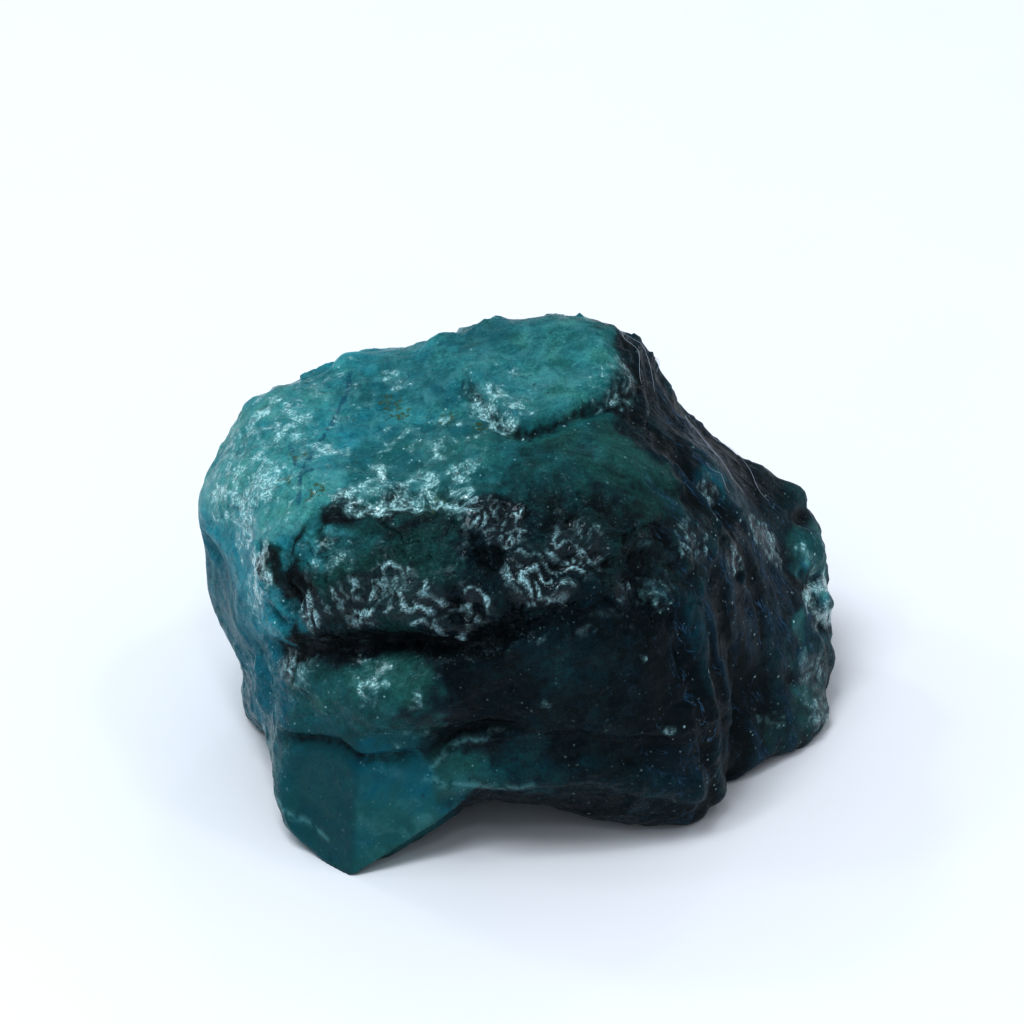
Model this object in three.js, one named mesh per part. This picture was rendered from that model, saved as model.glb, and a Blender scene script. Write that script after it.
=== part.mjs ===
// Raw aquamarine: one broken lump of dark teal beryl, about 31 mm long, as it came out of the
// rock. It rests on a wedge-shaped front foot, a blunt toe and two heels, with a low arch
// between the foot and the toe.
//
// The stone is one closed solid. Every point of its surface lies on a ray from the heart of the
// stone, and its distance along that ray is worked out in four steps:
//   1. the skin, a smooth surface stretched through landmarks of the stone's main form;
//   2. the flat crystal faces of the front foot;
//   3. the strokes: cracks and overlapping ledges, ridges, domes, knobs and pits;
//   4. the relief: scalloped hollows and flat chips, and hanging folds on the right side.
// Millimetres, +Z up, +X the long way, the resting plane at z = 0.

import * as THREE from "three";
import { mergeVertices } from "three/addons/utils/BufferGeometryUtils.js";

// ---- Driving dimensions ----

const SIZE_FACTOR = 1; // 1 makes the stone 31 mm long
const HEART = new THREE.Vector3(0, 0, 8.5); // the point that every ray starts from
const PLAN_CENTRE = new THREE.Vector2(0.45, 0.3); // where the survey's plan has its middle
const FACE_ROWS = 21; // subdivisions of each face of the icosahedron
const SAME_PLACE = 1e-6; // points of the unit ball closer than this are one
const SKIN_SOFTNESS = 0.12; // how roundly the skin turns at a landmark
const SPREAD = 12; // mean radius, which turns a chord of the unit sphere into millimetres
const END_FADE = 1.5; // a ledge rises from nothing over this length at both of its ends

// ---- 1. Landmarks of the skin ----

const LANDMARKS = {
  leftShoulder: [
    [-15.0, 1.5, 12.8], [-14.4, 0.0, 10.5], [-14.5, 0.5, 7.0], [-14.0, 3.0, 15.1],
  ],
  leftNotch: [[-13.8, -2.0, 9.9], [-12.5, -3.0, 7.6], [-12.0, -3.5, 5.6]],
  leftHeel: [[-13.5, 1.0, 5.4], [-13.0, 2.0, 3.3], [-12.9, 2.0, 0.0]],
  crown: [
    [-12.0, 5.0, 17.0], [-10.2, 6.0, 17.3], [-8.1, 7.0, 17.9], [-5.4, 7.5, 18.1],
    [-3.5, 7.0, 19.1], [-1.1, 6.5, 20.0], [1.6, 6.0, 20.5], [4.0, 5.5, 20.6],
  ],
  top: [
    [-11.8, -1.5, 16.5], [-8.6, 1.0, 17.6], [-5.3, 2.5, 18.3], [-9.8, -6.5, 15.4],
    [-5.2, -3.0, 17.5], [1.3, 2.5, 19.5], [4.2, 1.0, 19.3], [6.0, -4.0, 17.1],
  ],
  rightSlope: [
    [6.9, 5.5, 18.4], [9.5, 6.7, 13.8], [11.8, 7.8, 11.1], [13.9, 8.4, 9.2], [15.4, 6.0, 6.5],
    [15.7, 4.0, 2.2], [15.4, 3.0, 0.5],
  ],
  cheek: [[-12.9, -2.5, 12.6]],
  brow: [[-8.4, -8.3, 13.3], [-5.2, -7.0, 15.8], [-5.2, -9.0, 13.8], [-0.6, -8.0, 16.5]],
  front: [
    [-10.4, -7.3, 8.5], [-8.5, -9.0, 9.8], [-5.2, -8.6, 11.8], [-5.2, -10.0, 10.5],
    [-2.0, -9.8, 10.4], [2.2, -9.0, 13.2], [6.4, -8.0, 12.5],
  ],
  frontFoot: [
    [-10.5, -8.0, 5.5], [-11.3, -6.5, 4.6], [-10.9, -7.6, 0.9], [-9.1, -9.3, 3.5],
    [-7.8, -9.3, 7.1], [-7.7, -10.6, 0.0], [-5.3, -10.3, 5.6], [-3.9, -9.3, 5.8],
    [-5.0, -10.1, 1.5], [-3.2, -9.5, 2.9],
  ],
  arch: [
    [-1.7, -8.4, 2.7], [-0.1, -8.3, 2.5], [1.5, -8.1, 2.5], [3.3, -7.8, 1.6], [5.2, -7.4, 0.6],
    [-1.0, -6.5, 1.9],
  ],
  belt: [[-1.5, -9.2, 5.2], [6.0, -8.8, 4.9]],
  frontRightRidge: [[7.1, 3.5, 17.7], [8.8, -6.5, 10.2], [9.4, -7.3, 6.7], [10.1, -6.0, 2.7]],
  rightToe: [
    [5.2, -6.4, 0.0], [7.6, -6.9, 0.0], [9.0, -6.6, 0.0], [9.8, -4.4, 0.0], [10.9, -2.5, 0.0],
  ],
  rightFace: [
    [11.0, 3.0, 12.8], [11.4, -0.5, 11.1], [13.0, 4.0, 9.7], [11.2, -2.2, 7.7],
    [13.5, 1.0, 6.5], [11.5, -2.8, 3.3], [14.9, 0.8, 2.0],
  ],
  rightHeel: [[14.7, -0.2, 0.0], [13.9, -0.9, 0.0]],
  back: [
    [-11.0, 7.5, 11.0], [-11.0, 7.3, 5.0], [-6.0, 9.9, 12.0], [0.0, 10.3, 6.0],
    [0.0, 10.5, 11.0], [0.0, 9.2, 16.5], [6.0, 10.2, 12.0], [6.0, 10.4, 6.0],
    [6.0, 8.4, 16.0], [11.0, 9.2, 9.5], [14.3, 6.2, 2.0],
  ],
  underside: [
    [-7.2, -9.3, -0.4], [13.2, 0.0, -0.4], [-12.0, 2.8, -0.3], [1.0, 8.7, -0.4],
    [0.0, 0.0, 1.8], [-8.0, -3.0, 1.5], [8.0, 0.0, 1.0], [0.0, 4.0, 1.3],
    [-6.0, 6.0, 1.0], [7.0, 6.5, 0.9], [-11.2, -3.0, 2.0],
  ],
};

// ---- 2. The flat faces of the front foot ----

const FOOT_RIDGE_TOP = [-7.2, -10.3, 6.6];
const FOOT_TIP = [-7.6, -10.8, 0];
const FOOT_FACES = [
  [[-11.2, -7.1, 4.6], FOOT_RIDGE_TOP, FOOT_TIP], // left of the ridge
  [FOOT_RIDGE_TOP, [-3.9, -9.6, 4.4], FOOT_TIP], // right of it
  [FOOT_TIP, [-4.3, -10.0, 2.0], [-5.0, -7.0, 1.0]], // under the right face
  [[-11.2, -7.4, 2.4], [-8.4, -10.6, 0.8], [-10.6, -7.5, 0]], // under the left face
];
const FOOT_EDGE = 0.1; // how softly the faces meet
const FOOT_CENTRE = [-7.1, -10.0, 4.0];
const FOOT_INNER = 3.3; // the faces are fully flat inside this distance
const FOOT_OUTER = 4.5; // and have faded into the skin at this one
const FOOT_GROWTH = 1.5; // the most that a face may stand outside the skin
const FOOT_SLOPE = 0.15; // a ray this close to a face's plane misses it

// ---- 3. Strokes ----

// A ledge is a crack whose side on the left of its run stands proud by `step`, falling off
// over `reach`. A form without a step is a plain groove.
const LEDGES = [
  { // the rim of the plate that overlaps the top
    path: [
      [-2.8, 3.2, 19.2], [-1.5, 1.3, 19.1], [-0.6, -0.4, 18.9], [0.8, -1.4, 18.7],
      [2.3, -0.5, 18.9], [4.1, 0.8, 19.2], [6.1, 2.5, 18.6],
    ],
    depth: 0.45, width: 0.35, step: 0.75, reach: 2.2,
  },
  { // the facet that runs from the plate's corner down to the right
    path: [[2.8, -1.1, 18.9], [3.9, -2.7, 18.3], [5.6, -3.3, 17.5], [8.9, -1.4, 15.2]],
    depth: 0.3, width: 0.45, step: 0.35, reach: 2.0,
  },
  { // where the smooth top breaks off above the pitted band
    path: [
      [-10.6, -6.8, 13.4], [-10.6, -6.0, 15.1], [-9.9, -5.0, 16.2], [-7.8, -4.8, 16.8],
      [-5.2, -4.3, 17.1], [-4.0, -5.0, 17.1], [-2.0, -3.1, 18.2], [-0.6, -3.8, 18.2],
      [0.5, -5.5, 17.8],
    ],
    depth: 0.35, width: 0.5, step: 0.4, reach: 1.5,
  },
  { // the long crack under the pitted band
    path: [
      [-12.0, -5.1, 9.8], [-10.4, -7.4, 10.7], [-8.5, -8.5, 11.8], [-6.5, -8.5, 12.3],
      [-4.3, -9.1, 12.7], [-1.9, -9.4, 12.8], [0.8, -9.1, 13.6],
    ],
    depth: 0.9, width: 0.6, step: 0.5, reach: 1.8,
  },
  { // the crack over the front foot
    path: [
      [-11.3, -6.6, 5.6], [-10.0, -8.3, 6.1], [-7.9, -9.2, 6.8], [-7.2, -9.9, 6.6],
      [-4.9, -10.1, 6.2], [-3.8, -9.3, 5.6],
    ],
    depth: 0.5, width: 0.35, step: 0, reach: 1.5,
  },
  { // the rounded end of the belt, which laps over the dome
    path: [
      [0.8, -9.8, 8.0], [-1.2, -9.6, 8.0], [-2.3, -9.4, 7.5], [-3.1, -9.2, 6.9],
      [-3.7, -9.2, 6.1], [-4.1, -9.4, 5.3],
    ],
    depth: 0.6, width: 0.35, step: 0.5, reach: 1.4,
  },
  { // the groove above the belt
    path: [[-2.0, -9.2, 6.8], [0.4, -9.7, 6.9], [3.2, -9.7, 7.2], [6.0, -9.0, 6.5], [8.4, -8.1, 5.7]],
    depth: 0.3, width: 0.6, step: 0, reach: 1,
  },
  { // the gully right of the front-right ridge
    path: [[10.6, -3.6, 8.7], [11.1, -2.7, 5.0], [10.9, -3.9, 3.2], [10.5, -5.1, 2.1]],
    depth: 0.6, width: 0.9, step: 0, reach: 1,
  },
  { // a ledge across the back, low at its ends
    path: [[-10.5, 7.6, 9.0], [-6.5, 9.6, 11.0], [-2.0, 10.4, 9.4], [3.0, 10.5, 10.6], [8.0, 10.0, 8.6]],
    depth: 0.7, width: 0.6, step: 0.7, reach: 2.4,
  },
  { // a crack that comes down the back from the crown
    path: [[2.4, 8.2, 18.0], [3.6, 9.7, 15.0], [3.0, 10.3, 12.4], [4.4, 10.5, 10.4]],
    depth: 0.5, width: 0.5, step: 0.3, reach: 1.6,
  },
  { // the overlap low on the back, left
    path: [[-12.2, 4.0, 5.4], [-9.0, 8.4, 4.2], [-5.0, 9.7, 5.2], [-2.2, 10.1, 3.2]],
    depth: 0.6, width: 0.55, step: 0.5, reach: 1.8,
  },
];

// A swelling is a path, a height and a width: a rounded ridge along the path, or a knob where
// the path is one point. A negative height makes a pit. The power rounds its rim.
const SWELLING_POWER = 1.2;
const SWELLINGS = [
  // the front-right ridge, and the crest from the crown, a little sunk
  [[[8.3, -5.9, 12.7], [9.0, -6.3, 10.1], [9.4, -7.0, 7.7], [10.1, -6.0, 1.2]], 0.35, 0.9],
  [[[7.6, 4.6, 17.6], [9.6, 5.0, 14.8], [11.6, 5.4, 12.0]], -0.35, 2.4],
  // domes and lips of the pitted band
  [[[-8.4, -7.5, 15.1], [-7.4, -6.9, 15.7]], 0.35, 1.4],
  [[[-5.2, -7.0, 15.8], [-2.6, -8.2, 15.8]], 0.55, 1.7],
  [[[-7.8, -8.5, 12.6], [-5.6, -8.7, 14.1], [-2.6, -8.4, 15.5]], 0.35, 0.7],
  [[[-1.9, -6.0, 17.4], [-1.0, -6.9, 17.1]], 0.4, 0.9],
  [[[0.4, -7.9, 16.4], [2.2, -6.9, 16.6]], 0.4, 0.9],
  [[[3.6, -6.1, 16.8], [4.5, -6.3, 16.2]], 0.35, 0.8],
  [[[0.4, -8.6, 15.3], [1.5, -8.5, 15.0], [3.4, -7.8, 15.1]], 0.45, 0.8],
  // the dome under the long crack and the belt above the arch
  [[[-6.4, -9.7, 10.0], [-3.8, -10.1, 10.3]], 0.5, 2.2],
  [[[-2.7, -9.0, 4.9], [0.4, -9.3, 5.0], [3.7, -9.3, 5.3], [9.0, -7.4, 2.9]], 0.45, 1.0],
  // knobs of the right edge, the left heel and the lobe over the right heel
  [[[14.8, 5.1, 7.8]], 0.5, 1.5],
  [[[15.4, 3.9, 5.6]], 0.5, 0.9],
  [[[14.0, 7.1, 9.8]], 0.4, 0.9],
  [[[12.4, 7.2, 11.3]], 0.2, 0.8],
  [[[-12.5, -4.6, 7.4], [-12.3, -4.6, 5.6]], 0.5, 0.9],
  [[[14.6, 2.2, 3.6], [14.6, 0.6, 2.0]], 0.4, 1.6],
  // bumps along the crown
  [[[-8.0, 6.1, 18.3]], 0.25, 0.9],
  [[[-3.5, 6.1, 19.4]], 0.3, 0.9],
  [[[-1.6, 6.2, 20.0]], 0.25, 0.8],
  // domes of the back
  [[[-7.4, 9.4, 8.0], [-4.6, 10.1, 7.2]], 0.7, 2.0],
  [[[7.8, 10.0, 11.6], [9.6, 9.5, 10.2]], 0.5, 1.8],
  [[[2.2, 10.4, 6.4]], 0.6, 1.9],
  [[[-9.6, 7.6, 14.4], [-7.4, 8.6, 15.0]], 0.45, 1.5],
  // pits
  [[[-5.5, -4.0, 17.2], [-4.5, -4.5, 17.2]], -0.45, 0.7],
  [[[-1.2, -8.0, 16.4]], -0.5, 0.9],
  [[[-10.3, -7.1, 13.6]], -0.45, 0.8],
  [[[-2.6, -9.1, 14.3], [-1.5, -9.2, 14.0]], -0.5, 0.8],
  [[[6.0, -6.3, 15.3]], -0.3, 0.9],
  [[[-1.4, 10.2, 13.4]], -0.5, 1.2],
  [[[8.6, 9.6, 5.0]], -0.45, 1.2],
  // notches of the outline: left side, left heel and between the knobs of the right edge
  [[[-14.3, 0.2, 11.4]], -0.4, 0.9],
  [[[-13.1, 1.0, 4.8]], -0.6, 1.3],
  [[[14.6, 6.2, 9.0]], -0.5, 0.7],
  [[[15.3, 4.4, 6.5]], -0.6, 0.6],
  [[[15.5, 3.2, 4.4]], -0.6, 0.6],
  [[[-14.6, -1.0, 10.4], [-14.3, -0.6, 8.0]], -0.5, 2.2],
];

// ---- 4. Relief ----

// Centres of the pitted band that runs across the brow, each with the radius it covers.
const BAND = [
  { at: [-8.9, -7.6, 14.5], radius: 2.2 },
  { at: [-5.2, -8.3, 15.0], radius: 2.5 },
  { at: [-1.5, -8.5, 15.7], radius: 3.0 },
  { at: [2.2, -7.8, 15.8], radius: 3.0 },
  { at: [6.0, -6.6, 14.9], radius: 2.2 },
];
const BAND_FADE = 2.5;
// The crest that comes down from the crown to the right.
const CREST = [{ at: [9.0, 4.2, 16.0], radius: 2.5 }, { at: [12.0, 4.8, 11.8], radius: 2.5 }];
const CREST_FADE = 2;
const CREST_CALM = 0.6; // how much of the scallops and chips the crest loses
const ROUGHNESS = { everywhere: 0.35, band: 0.65, right: 0.1, back: 0.5 };
const SCALLOPS = [{ size: 3.2, height: 0.55, seed: 3 }, { size: 1.6, height: 0.28, seed: 5 }];
const SCALLOP_MEAN = 0.32; // mean squared distance to the nearest cell centre
const CHIPS = { size: 2.6, height: 0.16, seed: 7 };
const CHIP_MIDDLE = 0.5; // chips stand as often below the skin as above it
const FOLDS = { size: 2, height: 0.32, stretch: 0.2, seed: 91 }; // down the right side
const FOLD_SHARPNESS = 3;
const FOLD_MIDDLE = 0.5;
const FOLD_ROUNDING = 0.08; // keeps the crests from being knife edges
const SWAY = { size: 3.5, reach: 1.1 }; // slow clouds that keep the folds from hanging straight
const SWELL = { size: 2.5, height: 0.12, seed: 61 };
const FOOT_CALM = 0.85; // how much of the relief the foot's flat faces lose
const WARP = { size: 5, reach: 1.2, seeds: [31, 37, 41] };
const GRAIN_STRETCH = new THREE.Vector3(0.8, 0.8, 1.15); // forms lie a little flat

// ---- Small helpers ----

const point = ([x, y, z]) => new THREE.Vector3(x, y, z);
const directionOf = (place) => point(place).sub(HEART).normalize();
const smooth = (x, low, high) => THREE.MathUtils.smoothstep(x, low, high);

// ---- Noise on a lattice of whole numbers ----

function hash(i, j, k, seed) {
  let h = Math.imul(i, 374761393) ^ Math.imul(j, 668265263);
  h ^= Math.imul(k, 1274126177) ^ Math.imul(seed, 974634777);
  h = Math.imul(h ^ (h >>> 13), 1274126177);
  h = Math.imul(h ^ (h >>> 16), 2654435769);
  return (h ^ (h >>> 15)) >>> 0;
}

const unit = (h) => (h >>> 0) / 2 ** 32;
const rehash = (h, factor) => unit(Math.imul(h, factor) + factor);
const TILT_FACTORS = [374761393, 668265263, 1274126177];
const RISE_FACTOR = 2654435769;

// Smooth value noise from -1 to 1.
function lattice(p, seed) {
  const cell = p.clone().floor();
  const [u, v, w] = p.clone().sub(cell).toArray().map((t) => t * t * t * (t * (t * 6 - 15) + 10));
  let sum = 0;
  for (const [dx, dy, dz] of CORNERS) {
    const weight = (dx ? u : 1 - u) * (dy ? v : 1 - v) * (dz ? w : 1 - w);
    sum += weight * unit(hash(cell.x + dx, cell.y + dy, cell.z + dz, seed));
  }
  return sum * 2 - 1;
}

// Offsets of a block of lattice cells around the current one.
function offsets(values) {
  return values.flatMap((x) => values.flatMap((y) => values.map((z) => [x, y, z])));
}
const CORNERS = offsets([0, 1]);
const NEIGHBOURS = offsets([-1, 0, 1]);

// Two octaves of value noise.
function clouds(p, seed) {
  return (lattice(p, seed) + 0.5 * lattice(p.clone().multiplyScalar(2), seed + 1)) / 1.5;
}

// The nearest cell centre: the offset from it and the hash that names the cell.
function nearestCell(p, seed) {
  const base = p.clone().floor();
  const best = { distance: Infinity };
  for (const [dx, dy, dz] of NEIGHBOURS) {
    const cell = base.clone().add(point([dx, dy, dz]));
    const h = hash(cell.x, cell.y, cell.z, seed);
    const jitter = point([unit(h), rehash(h, 2246822519), rehash(h, 3266489917)]);
    const offset = p.clone().sub(cell.add(jitter));
    const distance = offset.length();
    if (distance < best.distance) Object.assign(best, { distance, offset, h });
  }
  return best;
}

// ---- Step 1: the skin ----

// Multiquadric interpolation over directions: radius = constant - sum(weight * sqrt(d² + s²)).
// Its weights solve one linear system, with their sum held at zero.
function fitSkin() {
  const places = Object.values(LANDMARKS).flat();
  const directions = places.map(directionOf);
  const n = places.length;
  const rows = directions.map((a) => [...directions.map((b) => kernel(a, b)), 1]);
  rows.push([...directions.map(() => 1), 0]);
  const radii = [...places.map((place) => point(place).distanceTo(HEART)), 0];
  const weights = solve(rows, radii);
  return { directions, weights: weights.slice(0, n), constant: weights[n] };
}

const kernel = (a, b) => -Math.hypot(a.distanceTo(b), SKIN_SOFTNESS);

function skinRadius(skin, direction) {
  return skin.directions.reduce(
    (sum, place, i) => sum + skin.weights[i] * kernel(place, direction),
    skin.constant,
  );
}

// Gaussian elimination with the largest pivot.
function solve(rows, right) {
  const m = rows.map((row, i) => [...row, right[i]]);
  const n = m.length;
  for (let c = 0; c < n; c++) {
    let pivot = c;
    for (let r = c + 1; r < n; r++) if (Math.abs(m[r][c]) > Math.abs(m[pivot][c])) pivot = r;
    [m[c], m[pivot]] = [m[pivot], m[c]];
    for (let r = c + 1; r < n; r++) {
      const factor = m[r][c] / m[c][c];
      for (let k = c; k <= n; k++) m[r][k] -= factor * m[c][k];
    }
  }
  const x = new Array(n).fill(0);
  for (let r = n - 1; r >= 0; r--) {
    const known = m[r].slice(r + 1, n).reduce((sum, value, k) => sum + value * x[r + 1 + k], 0);
    x[r] = (m[r][n] - known) / m[r][r];
  }
  return x;
}

// ---- Step 2: the foot's faces ----

const footPlanes = FOOT_FACES.map((corners) => {
  const plane = new THREE.Plane().setFromCoplanarPoints(...corners.map(point));
  return plane.distanceToPoint(HEART) > 0 ? plane.negate() : plane;
});

// The soft minimum -k·log(sum of exp(-r / k)) of the planes' radii and the skin grown outwards.
function footRadius(direction, radius) {
  const away = direction.distanceTo(directionOf(FOOT_CENTRE)) * radius;
  const weight = 1 - smooth(away, FOOT_INNER, FOOT_OUTER);
  if (weight === 0) return radius;
  const reaches = footPlanes.map((plane) => {
    const slope = plane.normal.dot(direction);
    return slope > FOOT_SLOPE ? -plane.distanceToPoint(HEART) / slope : Infinity;
  });
  const shares = [...reaches, radius + FOOT_GROWTH].map((r) => Math.exp((radius - r) / FOOT_EDGE));
  const flat = radius - FOOT_EDGE * Math.log(shares.reduce((a, b) => a + b));
  return THREE.MathUtils.lerp(radius, flat, weight);
}

// ---- Step 3: strokes ----

// The distance from a direction to a path, the side of the path it lies on (+1 on the left of
// the run, seen from outside) and how far along it is from the nearer end.
function nearPath(direction, radius, path) {
  const stops = path.map(directionOf);
  if (stops.length === 1) return { distance: direction.distanceTo(stops[0]) * radius };
  const lengths = stops.slice(1).map((stop, i) => stop.distanceTo(stops[i]));
  const total = lengths.reduce((a, b) => a + b);
  const best = { distance: Infinity };
  let start = 0;
  lengths.forEach((length, i) => {
    const line = new THREE.Line3(stops[i], stops[i + 1]);
    const t = line.closestPointToPointParameter(direction, true);
    const near = line.at(t, new THREE.Vector3()).normalize();
    const distance = near.distanceTo(direction) * radius;
    if (distance < best.distance) {
      const across = stops[i].clone().cross(stops[i + 1]);
      const run = start + t * length;
      const along = Math.min(run, total - run) * SPREAD;
      Object.assign(best, { distance, side: Math.sign(direction.dot(across)), along });
    }
    start += length;
  });
  return best;
}

function ledgeHeight(direction, radius, { path, depth, width, step, reach }) {
  const { distance, side, along } = nearPath(direction, radius, path);
  const ends = smooth(along, 0, END_FADE);
  const groove = depth * Math.exp(-((distance / width) ** 2));
  const lip = step * smooth(side * distance, -width, width) * Math.exp(-distance / reach);
  return (lip - groove) * ends;
}

function swellingHeight(direction, radius, [path, height, width]) {
  const { distance } = nearPath(direction, radius, path);
  return height * Math.max(0, 1 - (distance / width) ** 2) ** SWELLING_POWER;
}

// ---- Step 4: relief ----

// The strongest of several round patches at a direction, from 0 to 1.
function cover(direction, spots, fade) {
  return Math.max(...spots.map(({ at, radius }) => {
    const away = direction.distanceTo(directionOf(at)) * SPREAD;
    return 1 - smooth(away, radius, radius + fade);
  }));
}

function zonesAt(direction) {
  const foot = direction.distanceTo(directionOf(FOOT_CENTRE)) * SPREAD;
  return {
    band: cover(direction, BAND, BAND_FADE),
    crest: cover(direction, CREST, CREST_FADE),
    right: smooth(direction.x, 0.45, 0.75),
    back: smooth(direction.y, 0.1, 0.5),
    foot: 1 - smooth(foot, FOOT_INNER, FOOT_OUTER),
  };
}

// Three clouds at a place, as a vector.
function drift(place, size, reach) {
  const slow = place.clone().divideScalar(size);
  return point(WARP.seeds.map((seed) => clouds(slow, seed))).multiplyScalar(reach);
}

// Hollows that meet in sharp rims, and flat chips, each tilted and raised its own way.
function brokenHeight(place) {
  const bent = place.clone().add(drift(place, WARP.size, WARP.reach)).multiply(GRAIN_STRETCH);
  let height = 0;
  for (const scallop of SCALLOPS) {
    const { distance } = nearestCell(bent.clone().divideScalar(scallop.size), scallop.seed);
    height += scallop.height * (distance ** 2 - SCALLOP_MEAN);
  }
  const chip = nearestCell(bent.clone().divideScalar(CHIPS.size), CHIPS.seed);
  const tilt = point(TILT_FACTORS.map((factor) => rehash(chip.h, factor) * 2 - 1));
  return height + CHIPS.height * (tilt.dot(chip.offset) + rehash(chip.h, RISE_FACTOR) - CHIP_MIDDLE);
}

// Folds whose crests follow the zero lines of clouds that are drawn out along x and z.
function foldHeight(place) {
  const swayed = place.clone().add(drift(place, SWAY.size, SWAY.reach));
  const drawn = swayed.multiply(point([FOLDS.stretch, 1, FOLDS.stretch])).divideScalar(FOLDS.size);
  const away = Math.hypot(clouds(drawn, FOLDS.seed), FOLD_ROUNDING);
  return FOLDS.height * (FOLD_MIDDLE - FOLD_SHARPNESS * away);
}

function reliefHeight(place, zones) {
  const strength = ROUGHNESS.everywhere + ROUGHNESS.band * zones.band
    + ROUGHNESS.right * zones.right + ROUGHNESS.back * zones.back;
  const broken = brokenHeight(place) * strength * (1 - CREST_CALM * zones.crest);
  const draped = foldHeight(place) * Math.max(zones.right, zones.crest);
  const swell = SWELL.height * clouds(place.clone().divideScalar(SWELL.size), SWELL.seed);
  return (broken + draped) * (1 - FOOT_CALM * zones.foot) + swell;
}

// ---- The stone ----

function surfacePoint(skin, direction) {
  const radius = footRadius(direction, skinRadius(skin, direction));
  let height = 0;
  for (const ledge of LEDGES) height += ledgeHeight(direction, radius, ledge);
  for (const swelling of SWELLINGS) height += swellingHeight(direction, radius, swelling);
  const place = direction.clone().multiplyScalar(radius).add(HEART);
  height += reliefHeight(place, zonesAt(direction));
  place.addScaledVector(direction, height);
  place.x -= PLAN_CENTRE.x;
  place.y -= PLAN_CENTRE.y;
  place.z = Math.max(place.z, 0);
  return place.multiplyScalar(SIZE_FACTOR);
}

function stoneGeometry() {
  const ball = new THREE.IcosahedronGeometry(1, FACE_ROWS);
  ball.deleteAttribute("normal");
  ball.deleteAttribute("uv");
  const geometry = mergeVertices(ball, SAME_PLACE);
  const positions = geometry.getAttribute("position");
  const skin = fitSkin();
  const direction = new THREE.Vector3();
  for (let i = 0; i < positions.count; i++) {
    direction.fromBufferAttribute(positions, i).normalize();
    positions.setXYZ(i, ...surfacePoint(skin, direction));
  }
  geometry.computeVertexNormals();
  return geometry;
}

const beryl = new THREE.MeshStandardMaterial({ color: 0x1f5058, roughness: 0.35, metalness: 0 });
const stone = new THREE.Mesh(stoneGeometry(), beryl);
stone.name = "aquamarine";

const part = new THREE.Group();
part.name = "raw_aquamarine";
part.add(stone);

export default part;
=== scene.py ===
"""Raw aquamarine: the fine surface, finish, lint, floor, light and camera of one stone.

The stone's surface is a function of direction. Every point lies on a ray from the heart of the
stone. Its distance is that of a smooth skin through landmarks, with the flat faces of the front
foot let in, plus ledges, swellings, pits and layers of relief. Shapes are worked out in
millimetres and put into the meshes in metres.
"""
import math
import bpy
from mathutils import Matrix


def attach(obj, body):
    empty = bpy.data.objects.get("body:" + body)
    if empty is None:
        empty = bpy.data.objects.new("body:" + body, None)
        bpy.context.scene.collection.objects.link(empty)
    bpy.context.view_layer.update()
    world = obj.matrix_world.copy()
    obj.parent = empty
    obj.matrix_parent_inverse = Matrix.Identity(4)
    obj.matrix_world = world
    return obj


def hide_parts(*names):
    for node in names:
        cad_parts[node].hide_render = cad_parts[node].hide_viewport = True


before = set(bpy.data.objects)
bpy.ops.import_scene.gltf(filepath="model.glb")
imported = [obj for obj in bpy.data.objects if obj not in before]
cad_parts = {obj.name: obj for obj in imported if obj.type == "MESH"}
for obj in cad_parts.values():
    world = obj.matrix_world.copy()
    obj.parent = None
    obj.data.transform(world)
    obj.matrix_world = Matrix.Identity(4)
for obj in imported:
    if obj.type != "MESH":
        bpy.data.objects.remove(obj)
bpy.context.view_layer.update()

from types import SimpleNamespace

import bpy
import numpy as np
from mathutils import Vector

bl_info = {
    "name": "Raw aquamarine",
    "version": (1, 0, 0),
    "blender": (4, 5, 0),
    "location": "3D View > Sidebar > Aquamarine",
    "description": "Makes a rough aquamarine with its fine surface, lint, stage and light",
    "category": "Add Mesh",
}

MM = 0.001
NODE = "aquamarine"

# ---- The stone's form, in millimetres, on the CAD model's own named values ----

HEART = np.array([0.0, 0.0, 8.5])
PLAN_CENTRE = np.array([0.45, 0.3, 0.0])
SKIN_SOFTNESS = 0.12
SPREAD = 12.0
END_FADE = 1.5

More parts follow.
